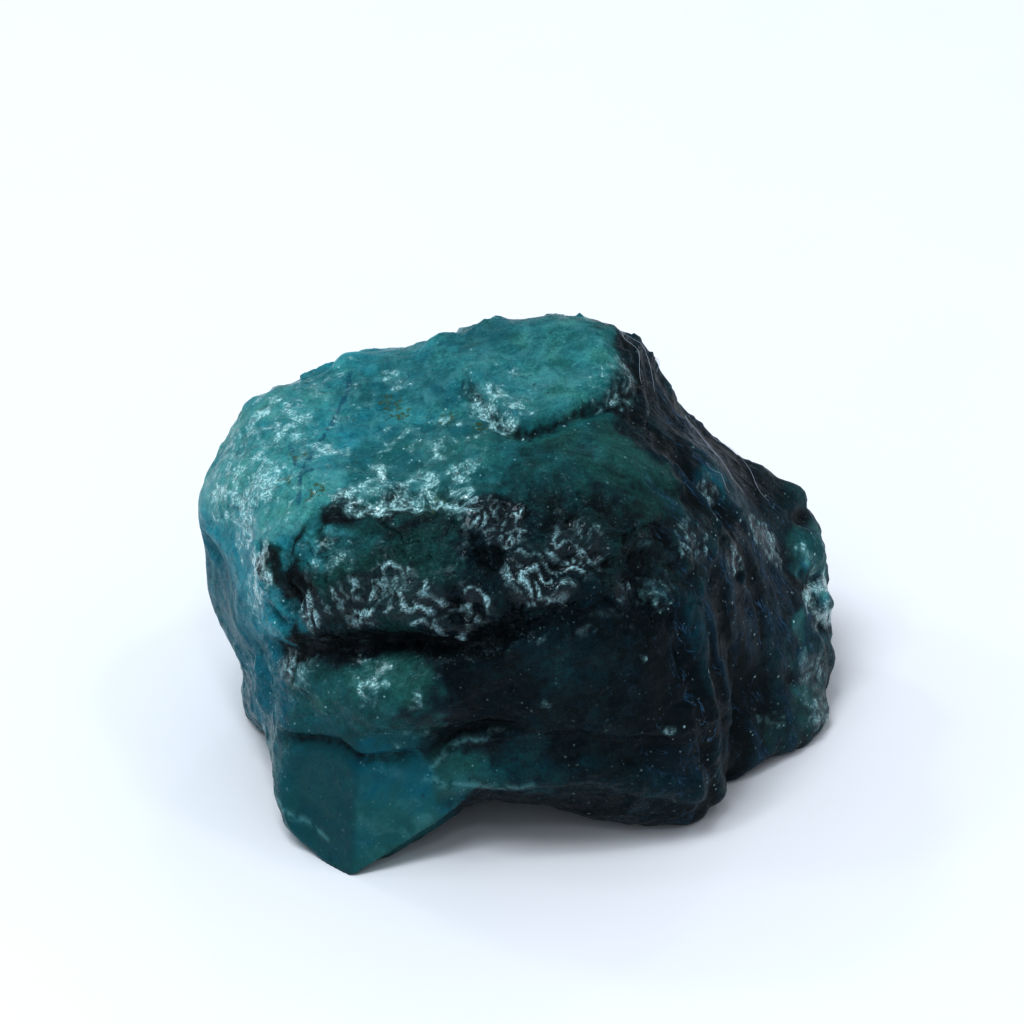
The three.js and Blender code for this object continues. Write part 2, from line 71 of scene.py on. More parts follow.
LANDMARKS = {
    "left shoulder": [[-15.0, 1.5, 12.8], [-14.4, 0.0, 10.5], [-14.5, 0.5, 7.0], [-14.0, 3.0, 15.1]],
    "left notch": [[-13.8, -2.0, 9.9], [-12.5, -3.0, 7.6], [-12.0, -3.5, 5.6]],
    "left heel": [[-13.5, 1.0, 5.4], [-13.0, 2.0, 3.3], [-12.9, 2.0, 0.0]],
    "crown": [
        [-12.0, 5.0, 17.0], [-10.2, 6.0, 17.3], [-8.1, 7.0, 17.9], [-5.4, 7.5, 18.1],
        [-3.5, 7.0, 19.1], [-1.1, 6.5, 20.0], [1.6, 6.0, 20.5], [4.0, 5.5, 20.6],
    ],
    "top": [
        [-11.8, -1.5, 16.5], [-8.6, 1.0, 17.6], [-5.3, 2.5, 18.3], [-9.8, -6.5, 15.4],
        [-5.2, -3.0, 17.5], [1.3, 2.5, 19.5], [4.2, 1.0, 19.3], [6.0, -4.0, 17.1],
    ],
    "right slope": [
        [6.9, 5.5, 18.4], [9.5, 6.7, 13.8], [11.8, 7.8, 11.1], [13.9, 8.4, 9.2], [15.4, 6.0, 6.5],
        [15.7, 4.0, 2.2], [15.4, 3.0, 0.5],
    ],
    "cheek": [[-12.9, -2.5, 12.6]],
    "brow": [[-8.4, -8.3, 13.3], [-5.2, -7.0, 15.8], [-5.2, -9.0, 13.8], [-0.6, -8.0, 16.5]],
    "front": [
        [-10.4, -7.3, 8.5], [-8.5, -9.0, 9.8], [-5.2, -8.6, 11.8], [-5.2, -10.0, 10.5],
        [-2.0, -9.8, 10.4], [2.2, -9.0, 13.2], [6.4, -8.0, 12.5],
    ],
    "front foot": [
        [-10.5, -8.0, 5.5], [-11.3, -6.5, 4.6], [-10.9, -7.6, 0.9], [-9.1, -9.3, 3.5],
        [-7.8, -9.3, 7.1], [-7.7, -10.6, 0.0], [-5.3, -10.3, 5.6], [-3.9, -9.3, 5.8],
        [-5.0, -10.1, 1.5], [-3.2, -9.5, 2.9],
    ],
    "arch": [
        [-1.7, -8.4, 2.7], [-0.1, -8.3, 2.5], [1.5, -8.1, 2.5], [3.3, -7.8, 1.6], [5.2, -7.4, 0.6],
        [-1.0, -6.5, 1.9],
    ],
    "belt": [[-1.5, -9.2, 5.2], [6.0, -8.8, 4.9]],
    "front right ridge": [[7.1, 3.5, 17.7], [8.8, -6.5, 10.2], [9.4, -7.3, 6.7], [10.1, -6.0, 2.7]],
    "right toe": [
        [5.2, -6.4, 0.0], [7.6, -6.9, 0.0], [9.0, -6.6, 0.0], [9.8, -4.4, 0.0], [10.9, -2.5, 0.0],
    ],
    "right face": [
        [11.0, 3.0, 12.8], [11.4, -0.5, 11.1], [13.0, 4.0, 9.7], [11.2, -2.2, 7.7],
        [13.5, 1.0, 6.5], [11.5, -2.8, 3.3], [14.9, 0.8, 2.0],
    ],
    "right heel": [[14.7, -0.2, 0.0], [13.9, -0.9, 0.0]],
    "back": [
        [-11.0, 7.5, 11.0], [-11.0, 7.3, 5.0], [-6.0, 9.9, 12.0], [0.0, 10.3, 6.0],
        [0.0, 10.5, 11.0], [0.0, 9.2, 16.5], [6.0, 10.2, 12.0], [6.0, 10.4, 6.0],
        [6.0, 8.4, 16.0], [11.0, 9.2, 9.5], [14.3, 6.2, 2.0],
    ],
    "underside": [
        [-7.2, -9.3, -0.4], [13.2, 0.0, -0.4], [-12.0, 2.8, -0.3], [1.0, 8.7, -0.4],
        [0.0, 0.0, 1.8], [-8.0, -3.0, 1.5], [8.0, 0.0, 1.0], [0.0, 4.0, 1.3],
        [-6.0, 6.0, 1.0], [7.0, 6.5, 0.9], [-11.2, -3.0, 2.0],
    ],
}

FOOT_RIDGE_TOP = [-7.2, -10.3, 6.6]
FOOT_TIP = [-7.6, -10.8, 0.0]
FOOT_FACES = [
    [[-11.2, -7.1, 4.6], FOOT_RIDGE_TOP, FOOT_TIP],
    [FOOT_RIDGE_TOP, [-3.9, -9.6, 4.4], FOOT_TIP],
    [FOOT_TIP, [-4.3, -10.0, 2.0], [-5.0, -7.0, 1.0]],
    [[-11.2, -7.4, 2.4], [-8.4, -10.6, 0.8], [-10.6, -7.5, 0.0]],
]
FOOT_EDGE = 0.1
FOOT_CENTRE = [-7.1, -10.0, 4.0]
FOOT_INNER = 3.3
FOOT_OUTER = 4.5
FOOT_GROWTH = 1.5
FOOT_SLOPE = 0.15
FOOT_CALM = 0.85

# How far the painted shade reaches beside a groove:
PAINTED_SHADE_WIDTH = (0.8, 1.2)  # in widths of the groove, on the left and on the right of its run
# Each ledge: its path, the groove's depth and width, the step and reach of the side on the
# left of its run, and how dark the painted shade in and beside the groove is.
LEDGES = {
    "plate rim": dict(
        path=[
            [-2.8, 3.2, 19.2], [-1.5, 1.3, 19.1], [-0.6, -0.4, 18.9], [0.8, -1.4, 18.7],
            [2.3, -0.5, 18.9], [4.1, 0.8, 19.2], [6.1, 2.5, 18.6],
        ],
        depth=0.45, width=0.35, step=0.75, reach=2.2, dark=0.7,
    ),
    "facet edge": dict(
        path=[[2.8, -1.1, 18.9], [3.9, -2.7, 18.3], [5.6, -3.3, 17.5], [8.9, -1.4, 15.2]],
        depth=0.3, width=0.45, step=0.35, reach=2.0, dark=0.45,
    ),
    "shelf": dict(
        path=[
            [-10.6, -6.8, 13.4], [-10.6, -6.0, 15.1], [-9.9, -5.0, 16.2], [-7.8, -4.8, 16.8],
            [-5.2, -4.3, 17.1], [-4.0, -5.0, 17.1], [-2.0, -3.1, 18.2], [-0.6, -3.8, 18.2],
            [0.5, -5.5, 17.8],
        ],
        depth=0.35, width=0.5, step=0.4, reach=1.5, dark=0.12,
    ),
    "long crack": dict(
        path=[
            [-12.0, -5.1, 9.8], [-10.4, -7.4, 10.7], [-8.5, -8.5, 11.8], [-6.5, -8.5, 12.3],
            [-4.3, -9.1, 12.7], [-1.9, -9.4, 12.8], [0.8, -9.1, 13.6],
        ],
        depth=0.9, width=0.6, step=0.5, reach=1.8, dark=0.85,
    ),
    "foot crack": dict(
        path=[
            [-11.3, -6.6, 5.6], [-10.0, -8.3, 6.1], [-7.9, -9.2, 6.8], [-7.2, -9.9, 6.6],
            [-4.9, -10.1, 6.2], [-3.8, -9.3, 5.6],
        ],
        depth=0.5, width=0.35, step=0.0, reach=1.5, dark=0.6,
    ),
    "belt crescent": dict(
        path=[
            [0.8, -9.8, 8.0], [-1.2, -9.6, 8.0], [-2.3, -9.4, 7.5], [-3.1, -9.2, 6.9], [-3.7, -9.2, 6.1],
            [-4.1, -9.4, 5.3],
        ],
        depth=0.6, width=0.35, step=0.5, reach=1.4, dark=0.55,
    ),
    "belt groove": dict(
        path=[[-2.0, -9.2, 6.8], [0.4, -9.7, 6.9], [3.2, -9.7, 7.2], [6.0, -9.0, 6.5], [8.4, -8.1, 5.7]],
        depth=0.3, width=0.6, step=0.0, reach=1.0, dark=0.3,
    ),
    "right gully": dict(
        path=[[10.6, -3.6, 8.7], [11.1, -2.7, 5.0], [10.9, -3.9, 3.2], [10.5, -5.1, 2.1]],
        depth=0.6, width=0.9, step=0.0, reach=1.0, dark=0.6,
    ),
    "back ledge": dict(
        path=[[-10.5, 7.6, 9.0], [-6.5, 9.6, 11.0], [-2.0, 10.4, 9.4], [3.0, 10.5, 10.6], [8.0, 10.0, 8.6]],
        depth=0.7, width=0.6, step=0.7, reach=2.4, dark=0.4,
    ),
    "back crack": dict(
        path=[[2.4, 8.2, 18.0], [3.6, 9.7, 15.0], [3.0, 10.3, 12.4], [4.4, 10.5, 10.4]],
        depth=0.5, width=0.5, step=0.3, reach=1.6, dark=0.4,
    ),
    "back overlap": dict(
        path=[[-12.2, 4.0, 5.4], [-9.0, 8.4, 4.2], [-5.0, 9.7, 5.2], [-2.2, 10.1, 3.2]],
        depth=0.6, width=0.55, step=0.5, reach=1.8, dark=0.4,
    ),
}

# Each swelling: its path, height and width. A negative height is a pit.
SWELLING_POWER = 1.2
SWELLINGS = [
    ([[8.3, -5.9, 12.7], [9.0, -6.3, 10.1], [9.4, -7.0, 7.7], [10.1, -6.0, 1.2]], 0.35, 0.9),
    ([[7.6, 4.6, 17.6], [9.6, 5.0, 14.8], [11.6, 5.4, 12.0]], -0.35, 2.4),
    # domes and lips of the pitted band
    ([[-8.4, -7.5, 15.1], [-7.4, -6.9, 15.7]], 0.35, 1.4),
    ([[-5.2, -7.0, 15.8], [-2.6, -8.2, 15.8]], 0.55, 1.7),
    ([[-7.8, -8.5, 12.6], [-5.6, -8.7, 14.1], [-2.6, -8.4, 15.5]], 0.35, 0.7),
    ([[-1.9, -6.0, 17.4], [-1.0, -6.9, 17.1]], 0.4, 0.9),
    ([[0.4, -7.9, 16.4], [2.2, -6.9, 16.6]], 0.4, 0.9),
    ([[3.6, -6.1, 16.8], [4.5, -6.3, 16.2]], 0.35, 0.8),
    ([[0.4, -8.6, 15.3], [1.5, -8.5, 15.0], [3.4, -7.8, 15.1]], 0.45, 0.8),
    # the dome under the long crack and the belt above the arch
    ([[-6.4, -9.7, 10.0], [-3.8, -10.1, 10.3]], 0.5, 2.2),
    ([[-2.7, -9.0, 4.9], [0.4, -9.3, 5.0], [3.7, -9.3, 5.3], [9.0, -7.4, 2.9]], 0.45, 1.0),
    # knobs of the right edge, the left heel and the lobe over the right heel
    ([[14.8, 5.1, 7.8]], 0.5, 1.5),
    ([[15.4, 3.9, 5.6]], 0.5, 0.9),
    ([[14.0, 7.1, 9.8]], 0.4, 0.9),
    ([[12.4, 7.2, 11.3]], 0.2, 0.8),
    ([[-12.5, -4.6, 7.4], [-12.3, -4.6, 5.6]], 0.5, 0.9),
    ([[14.6, 2.2, 3.6], [14.6, 0.6, 2.0]], 0.4, 1.6),
    # bumps along the crown
    ([[-8.0, 6.1, 18.3]], 0.25, 0.9),
    ([[-3.5, 6.1, 19.4]], 0.3, 0.9),
    ([[-1.6, 6.2, 20.0]], 0.25, 0.8),
    # domes of the back
    ([[-7.4, 9.4, 8.0], [-4.6, 10.1, 7.2]], 0.7, 2.0),
    ([[7.8, 10.0, 11.6], [9.6, 9.5, 10.2]], 0.5, 1.8),
    ([[2.2, 10.4, 6.4]], 0.6, 1.9),
    ([[-9.6, 7.6, 14.4], [-7.4, 8.6, 15.0]], 0.45, 1.5),
    # pits
    ([[-5.5, -4.0, 17.2], [-4.5, -4.5, 17.2]], -0.45, 0.7),
    ([[-1.2, -8.0, 16.4]], -0.5, 0.9),
    ([[-10.3, -7.1, 13.6]], -0.45, 0.8),
    ([[-2.6, -9.1, 14.3], [-1.5, -9.2, 14.0]], -0.5, 0.8),
    ([[6.0, -6.3, 15.3]], -0.3, 0.9),
    ([[-1.4, 10.2, 13.4]], -0.5, 1.2),
    ([[8.6, 9.6, 5.0]], -0.45, 1.2),
    # notches of the outline
    ([[-14.3, 0.2, 11.4]], -0.4, 0.9),
    ([[-13.1, 1.0, 4.8]], -0.6, 1.3),
    ([[14.6, 6.2, 9.0]], -0.5, 0.7),
    ([[15.3, 4.4, 6.5]], -0.6, 0.6),
    ([[15.5, 3.2, 4.4]], -0.6, 0.6),
    ([[-14.6, -1.0, 10.4], [-14.3, -0.6, 8.0]], -0.5, 2.2),
]

BAND = [
    ([-8.9, -7.6, 14.5], 2.2), ([-5.2, -8.3, 15.0], 2.5), ([-1.5, -8.5, 15.7], 3.0),
    ([2.2, -7.8, 15.8], 3.0), ([6.0, -6.6, 14.9], 2.2),
]
BAND_FADE = 2.5
CREST = [([9.0, 4.2, 16.0], 2.5), ([12.0, 4.8, 11.8], 2.5)]
CREST_FADE = 2.0
CREST_CALM = 0.6  # share of the hollows and chips that the crest loses
RIGHT_SIDE = (0.45, 0.75)  # where it starts and is full, as the x of a direction
BACK_SIDE = (0.1, 0.5)  # the same for y
ROUGHNESS = dict(everywhere=0.35, band=0.65, right=0.1, back=0.5)
SCALLOPS = [(3.2, 0.55, 3), (1.6, 0.28, 5)]  # size, height, seed
SCALLOP_MEAN = 0.32
CHIPS = (2.6, 0.16, 7)
FOLDS = dict(size=2.0, height=0.32, stretch=0.2, seed=91)
FOLD_SHARPNESS = 3.0
FOLD_MIDDLE = 0.5
FOLD_ROUNDING = 0.08
FOLD_SWAY = dict(size=3.5, reach=1.1, seeds=(31, 37, 41))
SWELL = dict(size=2.5, reach=0.12, seed=61)
WARP = dict(size=5.0, reach=1.2, seeds=(31, 37, 41))
GRAIN_STRETCH = np.array([0.8, 0.8, 1.15])

# ---- The mesh, and relief finer than the CAD model's ----

DRAW_TOWARDS = np.array([0.0, -0.83, 0.55])  # the side where the quads are smaller
COARSE_CALM = 0.3  # share of the coarse relief that the calm places lose
CREST_UNFOLDED = 0.6  # share of the coarse folds that the crest loses
FINE_ROUGHNESS = dict(everywhere=0.5, band=0.9, back=0.7)
FINE_LOSS = dict(calm=0.85, crest=0.65, right=0.15)  # shares of the fine relief that zones lose
FINE_SCALLOPS = (0.85, 0.20, 11)  # size, height, seed, as for the chips and lobes
FINE_CHIPS = (1.1, 0.14, 13)
LOBES = [(1.9, 0.34, 111), (1.05, 0.16, 113)]
FINE_GRAIN = dict(size=0.7, reach=0.05, seed=51, octaves=3)
FINE_FOLDS = dict(size=0.9, height=0.06, stretch=0.12, seed=93)
PITS = dict(size=1.3, width=0.32, depth=0.13, share=0.45, seed=19)

CALM_FADE = 1.6
# Smooth silky places: the cheek, the top, the plate, the facet, the lower front, the foot
CALM = [
    ([-13.6, -1.0, 11.0], 2.6, 0.9), ([-8.0, 1.5, 17.9], 2.4, 0.8), ([-5.0, 4.0, 18.5], 2.4, 0.8),
    ([1.5, 3.0, 19.8], 2.8, 0.95), ([4.6, -2.6, 18.0], 1.6, 0.8), ([4.0, -9.3, 10.5], 3.4, 0.7),
    ([9.6, -4.6, 11.5], 1.4, 0.5), ([-7.1, -10.0, 4.0], 2.8, 1.0), ([-4.6, -9.9, 10.4], 1.4, 0.5),
    ([0.4, -9.3, 5.2], 2.0, 0.6),
]

# ---- Where the colours, finishes and painted light and shade lie: place, reach, tone (0 near black, 1 pale), blueness ----

SHADES = [
    # the pale, blue left side and the smooth top
    ([-12.9, -0.5, 15.8], 3.0, 0.86, 0.40), ([-14.2, -0.7, 9.5], 3.0, 0.62, 1.15),
    ([-13.1, -2.1, 12.3], 2.5, 0.82, 1.20), ([-10.1, 1.9, 17.6], 3.0, 0.84, 0.50),
    ([-7.6, 0.5, 17.8], 2.5, 0.80, 0.85), ([-5.3, 2.6, 18.3], 3.0, 0.72, 0.60),
    ([-2.0, 2.6, 19.4], 3.0, 0.70, 0.50), ([1.6, 2.8, 19.8], 3.0, 0.72, 0.35),
    ([-7.0, 6.5, 18.0], 2.5, 0.88, 0.80), ([-1.0, 6.3, 20.0], 2.5, 0.66, 0.60),
    ([-5.3, -1.7, 17.8], 2.2, 0.64, 0.45), ([-2.0, -1.9, 18.5], 2.0, 0.60, 0.35),
    # the green facet right of the plate
    ([4.1, -3.1, 18.2], 1.8, 0.46, 0.10), ([6.9, -3.4, 16.6], 1.6, 0.46, 0.00),
    ([2.2, -4.0, 18.2], 1.6, 0.42, 0.30),
    # the dark right end of the top, and black places of the front
    ([6.0, 2.6, 18.9], 1.6, 0.12, 0.50), ([5.7, 4.8, 19.9], 1.6, 0.12, 0.50),
    ([7.3, 0.3, 17.6], 1.4, 0.18, 0.30), ([6.4, -8.5, 8.2], 1.1, 0.04, 0.60),
    ([5.8, -8.3, 11.8], 0.9, 0.04, 0.60),
    # lumps and gaps along the border of the dark band
    ([-10.4, -6.4, 14.7], 0.9, 0.10, 0.20), ([-9.2, -6.4, 15.6], 0.9, 0.86, 0.70),
    ([-8.3, -5.3, 16.6], 0.8, 0.16, 0.20), ([-7.0, -6.3, 16.1], 0.9, 0.70, 0.40),
    ([-5.9, -5.0, 16.9], 0.8, 0.12, 0.20), ([-10.9, -7.1, 12.6], 0.8, 0.85, 0.90),
    ([-10.3, -7.6, 11.6], 0.7, 0.08, 0.30),
    # the dark band, front and crest
    ([-9.8, -7.1, 14.7], 1.3, 0.36, 0.10), ([-7.0, -6.9, 15.7], 1.8, 0.36, 0.15),
    ([-4.3, -7.1, 15.9], 1.8, 0.38, 0.10), ([-1.5, -7.9, 16.4], 1.8, 0.12, 0.60),
    ([1.3, -8.2, 15.5], 2.0, 0.22, 0.30), ([5.2, -6.6, 15.5], 2.0, 0.30, 0.20),
    ([-7.5, -8.5, 12.4], 1.8, 0.26, 0.40), ([3.5, -9.0, 12.5], 3.0, 0.14, 0.70),
    ([4.0, -9.4, 9.5], 3.0, 0.15, 0.50), ([2.4, -9.6, 11.2], 1.2, 0.30, 0.20),
    ([8.6, -6.4, 10.5], 1.3, 0.32, 0.90),
    ([7.0, 3.5, 17.8], 2.0, 0.30, 0.60), ([9.5, 2.8, 15.0], 2.5, 0.31, 0.60),
    ([9.0, -2.5, 14.5], 2.0, 0.30, 0.40), ([13.0, 3.5, 9.5], 2.5, 0.30, 0.60),
    ([11.5, -1.5, 8.5], 3.0, 0.22, 0.60), ([11.2, -2.8, 4.5], 2.5, 0.28, 0.60),
    # the dome, front foot, belt, right lobe, knobs and left heel
    ([-5.9, -9.7, 10.6], 1.3, 0.50, 0.00), ([-5.3, -10.2, 8.2], 1.2, 0.48, 0.40),
    ([-3.4, -10.0, 10.4], 1.0, 0.48, 0.00), ([-3.4, -9.7, 8.0], 1.1, 0.20, 0.40),
    ([-1.4, -9.8, 10.2], 1.6, 0.10, 0.60), ([-0.8, -9.7, 8.0], 1.4, 0.10, 0.60),
    ([-9.0, -8.6, 9.5], 1.6, 0.50, 0.30), ([-9.6, -8.9, 3.9], 1.8, 0.55, 0.60),
    ([-6.0, -10.6, 2.6], 1.5, 0.58, 0.40), ([-6.5, -10.2, 5.7], 0.7, 0.56, 0.95),
    ([-4.6, -9.8, 4.6], 1.4, 0.60, 0.75), ([-2.4, -9.2, 5.8], 1.2, 0.46, 0.30),
    ([0.8, -9.5, 5.8], 1.5, 0.30, 0.60), ([3.4, -9.4, 5.2], 1.6, 0.16, 0.60),
    # these two darken the underside over the arch: painted shade
    ([-0.6, -8.4, 3.4], 1.2, 0.08, 0.90), ([3.0, -7.8, 2.4], 1.5, 0.04, 0.80),
    ([7.5, -8.0, 3.2], 2.0, 0.18, 0.60), ([14.1, 0.6, 2.4], 1.4, 0.42, 0.30),
    ([13.5, -1.4, 1.6], 1.3, 0.38, 0.30), ([15.0, 4.9, 7.7], 1.3, 0.70, 0.00),
    # the first shade here is a painted sparkle on a knob of the right edge
    ([15.4, 3.9, 5.6], 0.8, 1.30, 0.30), ([15.3, 3.2, 4.4], 0.9, 0.10, 0.50),
    ([14.0, 2.6, 6.2], 0.9, 0.14, 0.60), ([-12.5, -4.4, 6.5], 1.6, 0.62, 1.30),
    ([9.5, 0.2, 14.8], 0.8, 0.75, 1.30), ([14.6, 3.0, 5.0], 0.8, 0.60, 1.20),
    ([14.5, 0.6, 2.4], 0.7, 0.60, 0.10), ([13.6, 1.3, 3.9], 0.8, 0.64, 0.20),
    # the sides that face away
    ([-10.0, 7.5, 9.0], 4.0, 0.72, 0.65), ([-3.0, 10.2, 7.0], 4.0, 0.52, 0.50),
    ([3.5, 10.2, 13.5], 3.5, 0.58, 0.45), ([10.0, 9.5, 8.0], 4.0, 0.30, 0.45),
    ([0.0, 1.0, 1.5], 6.0, 0.36, 0.50), ([14.3, 6.5, 3.5], 2.5, 0.34, 0.45),
]

SHADE_SHARPNESS = 1.5
SHADE_PUSH = [(3.5, 4, 1.0), (0.9, 2, 0.5)]  # ragged borders: each cloud's size, octaves, strength
SHADE_REACH = 0.17
SHADE_SEEDS = (211, 223, 227)
# Painted light and shade: how much lighter the foot's second face is painted than its first
FACE_PAINTED_LIGHT = 0.07
FOOT_MOTTLE = dict(size=1.2, reach=0.12, seed=233, octaves=4)
MOTTLE_BLUE = 3

# Clouds that make the edges of patches ragged, and let lines wander
RAGGED = dict(size=0.8, reach=0.5, seed=301)
WANDER = dict(size=0.7, reach=0.08, seed=311)
LINE_FADE = 0.4

FROST_FADE = 0.6
# Patches of frosted grains, partly painted glints and sheen: place, radius, strength
FROST = [
    # wide thin frost, partly painted glints, on the top and the left side, then the closed patches in it
    ([-11.5, -1.0, 16.0], 3.2, 0.50), ([-12.4, -4.0, 12.6], 2.0, 0.30), ([-4.0, -1.6, 18.1], 3.0, 0.36),
    ([-0.6, 1.2, 19.1], 2.0, 0.30), ([-9.0, 3.5, 17.8], 2.0, 0.35),
    ([-11.0, 2.3, 17.4], 1.1, 0.85), ([-11.8, 1.4, 16.9], 0.8, 0.85), ([-12.4, 0.3, 16.4], 1.0, 0.85),
    ([-12.3, -1.5, 16.0], 1.3, 1.00), ([-12.4, -2.6, 14.8], 0.9, 0.90), ([-13.8, -0.2, 14.4], 0.7, 0.80),
    ([-11.7, -5.0, 13.5], 1.0, 1.00), ([-12.1, -4.6, 11.8], 0.8, 0.80), ([-9.0, -0.7, 17.5], 0.5, 1.00),
    ([-6.3, -3.9, 17.2], 1.1, 1.00), ([-4.1, -3.8, 17.5], 0.9, 1.00), ([-2.6, -4.8, 17.6], 0.8, 0.90),
    ([-3.7, -1.4, 18.2], 0.5, 0.90), ([-1.3, 1.1, 19.0], 0.9, 0.90), ([-0.1, -0.1, 18.9], 0.8, 1.00),
    ([-5.7, 4.1, 18.6], 0.4, 0.90), ([-8.2, -6.8, 15.8], 0.6, 0.45), ([-2.5, -3.2, 18.1], 0.6, 0.70),
    ([4.0, 1.6, 19.2], 0.6, 0.50), ([5.1, 2.3, 19.3], 0.8, 0.60), ([-4.6, 0.2, 18.2], 0.5, 0.60),
    # the dome's painted highlight, and painted glints on the dark front, the blue patch and the right lobe
    ([-6.4, -9.2, 10.8], 0.7, 0.55), ([-9.6, -8.2, 10.0], 0.6, 0.45), ([-4.3, -10.2, 10.1], 0.2, 0.60),
    ([-4.9, -10.2, 7.6], 0.6, 0.30), ([6.7, -7.0, 13.7], 0.5, 0.45), ([1.2, -9.2, 12.9], 0.1, 0.45),
    ([5.5, -8.5, 11.0], 0.2, 0.35), ([1.5, -9.9, 9.6], 0.1, 0.35), ([4.2, -9.4, 8.2], 0.1, 0.35),
    ([7.3, -8.3, 6.9], 0.1, 0.35), ([9.2, 0.6, 14.9], 0.2, 0.50), ([15.4, 3.9, 5.6], 0.8, 1.00),
    ([13.2, 1.0, 4.3], 0.3, 0.60), ([14.1, 0.3, 2.3], 0.3, 0.55), ([12.5, -1.9, 2.6], 0.1, 0.45),
    ([14.2, 4.6, 8.2], 0.3, 0.35), ([12.6, 2.4, 10.0], 0.6, 0.40), ([11.9, 2.4, 12.2], 0.4, 0.40),
    # the back
    ([-7.0, 9.6, 9.0], 1.2, 0.35), ([2.5, 10.4, 13.0], 1.2, 0.35), ([9.0, 9.6, 7.0], 1.0, 0.30),
    ([-11.5, 6.5, 13.0], 2.4, 0.50), ([-2.0, 10.0, 4.5], 1.0, 0.30),
]

# Where the broken band and its neighbours show nested curled lips, raised, with painted
# highlights on them and painted shade between them: place, radius
CURLS = [
    ([0.6, -8.3, 15.6], 1.0), ([1.8, -8.2, 15.5], 1.2), ([2.8, -6.9, 16.5], 1.1), ([3.8, -6.4, 16.4], 0.6),
    ([-0.4, -6.4, 17.3], 0.9), ([-1.6, -5.6, 17.5], 0.7), ([-6.8, -8.3, 14.2], 1.0),
    ([-5.4, -8.3, 15.0], 1.2), ([-4.1, -8.8, 14.6], 1.0), ([-2.8, -9.3, 13.7], 0.8),
    ([-1.5, -9.1, 14.5], 0.6), ([-9.2, -7.7, 13.4], 0.7), ([8.4, -3.9, 14.7], 0.9),
    ([-10.9, -7.0, 9.8], 0.5), ([5.0, -7.4, 14.2], 0.5), ([12.6, 2.4, 10.0], 0.6),
    ([9.6, 0.2, 14.7], 0.5), ([10.5, -1.9, 12.2], 0.5), ([11.6, 1.8, 11.4], 0.5),
    ([13.3, 0.8, 3.9], 0.5), ([14.2, 0.4, 2.2], 0.4),
]
CURL_SIZE = 1.4
CURL_RINGS = 2.7  # ridges across one cell
CURL_BOW = 0.55  # how far each cell's centre of curvature lies from its middle
CURL_SHARE = 0.18  # cover in the rest of the band
BAND_WET = 0.45  # how wet the band looks outside the patches
CURL_SWAY = dict(size=0.8, reach=0.45, seeds=(401, 405, 409))
CURL_HEIGHT = 0.13
CURL_SEED = 43
CURL_FADE = 0.5
CURL_EDGE = dict(size=0.8, reach=0.4, seed=311)
CURL_BREAKS = dict(size=0.55, seed=421)
CURL_GLEAM = dict(size=0.7, seed=431)
DULLEST_GLEAM = 0.25

# Healed cracks that show as blue lines, and one blue blotch: path, width
VEINS = [
    ([[-7.7, 5.4, 18.4], [-8.0, 3.2, 18.2], [-8.6, 1.4, 17.7], [-9.2, -0.1, 17.5], [-9.6, -1.8, 17.3],
      [-9.8, -3.0, 17.0], [-9.7, -4.4, 16.6]], 0.11),
    ([[-13.6, -0.6, 14.4], [-12.4, -1.9, 15.0], [-11.3, -2.9, 15.6]], 0.10),
    ([[-10.8, 1.1, 17.3], [-10.2, -0.5, 17.2], [-9.8, -2.0, 17.2]], 0.09),
    ([[-9.4, -1.6, 17.3], [-9.4, -2.4, 17.2]], 0.35),
    ([[-8.0, 9.0, 13.0], [-6.0, 9.8, 10.0], [-6.6, 9.4, 6.0]], 0.15),
]

# Painted highlights along edges of the foot, the belt's crescent and the left heel: path, width
EDGES = [
    ([[-11.3, -7.2, 2.6], [-9.9, -8.7, 1.9], [-8.6, -10.2, 1.0]], 0.12),
    ([[-0.8, -9.7, 7.5], [-2.1, -9.4, 7.1], [-2.9, -9.3, 6.6], [-3.5, -9.3, 5.9], [-3.9, -9.4, 5.2]], 0.18),
    ([[-11.8, -5.4, 9.2], [-11.7, -6.0, 7.6], [-11.5, -6.6, 5.8], [-11.4, -7.0, 4.4]], 0.14),
    ([[-4.6, -10.1, 4.9], [-2.0, -9.2, 4.6], [1.2, -9.4, 4.9]], 0.22),
]

STAIN_FADE = 0.3
STAIN_RAGGED = 0.6
# Olive stains: place, radius, and strength where it isn't 1
STAINS = [
    ([-7.0, 0.5, 17.9], 4.5, 0.3), ([-3.5, -3.5, 17.7], 2.0, 0.35),
    ([-5.3, 1.7, 18.1], 0.55), ([-5.9, 2.7, 18.3], 0.5), ([-7.9, 1.6, 17.8], 0.2, 0.7),
    ([-10.0, -0.8, 17.3], 0.3), ([-9.1, -3.6, 17.0], 0.35), ([-7.6, -1.0, 17.6], 0.2, 0.7),
    ([-3.0, 0.6, 18.9], 0.5), ([-1.6, -0.6, 18.7], 0.4), ([-10.6, -2.2, 16.9], 0.35),
    ([-3.6, -4.6, 17.3], 0.5), ([-5.6, 2.2, 18.3], 0.4), ([4.0, 10.4, 9.5], 0.7), ([-9.0, 8.2, 5.2], 0.6),
]

# The numbers that the mesh holds for its finish and for its painted light and shade, one at each point
FINISH_MASKS = (
    "tone", "blue", "crack", "vein", "stain", "frost_and_glint", "lip", "band", "relief", "foot", "right", "crest",
    "calm", "edge", "fold", "wet",
)
TONE_CLOUDS = [(0.5, 3.0, 0.34), (2.0, 4.0, 0.34), (7.0, 4.0, 0.36)]  # scale, detail, share
FACETS = [(0.13, 0.9), (0.42, 0.7)]  # size, steepness
FROST_SIZE = 0.7
FIBRES = dict(stretch=(7, 1, 7), size=0.5)

# ---- Lint: fine hairs that cling to the right crest ----

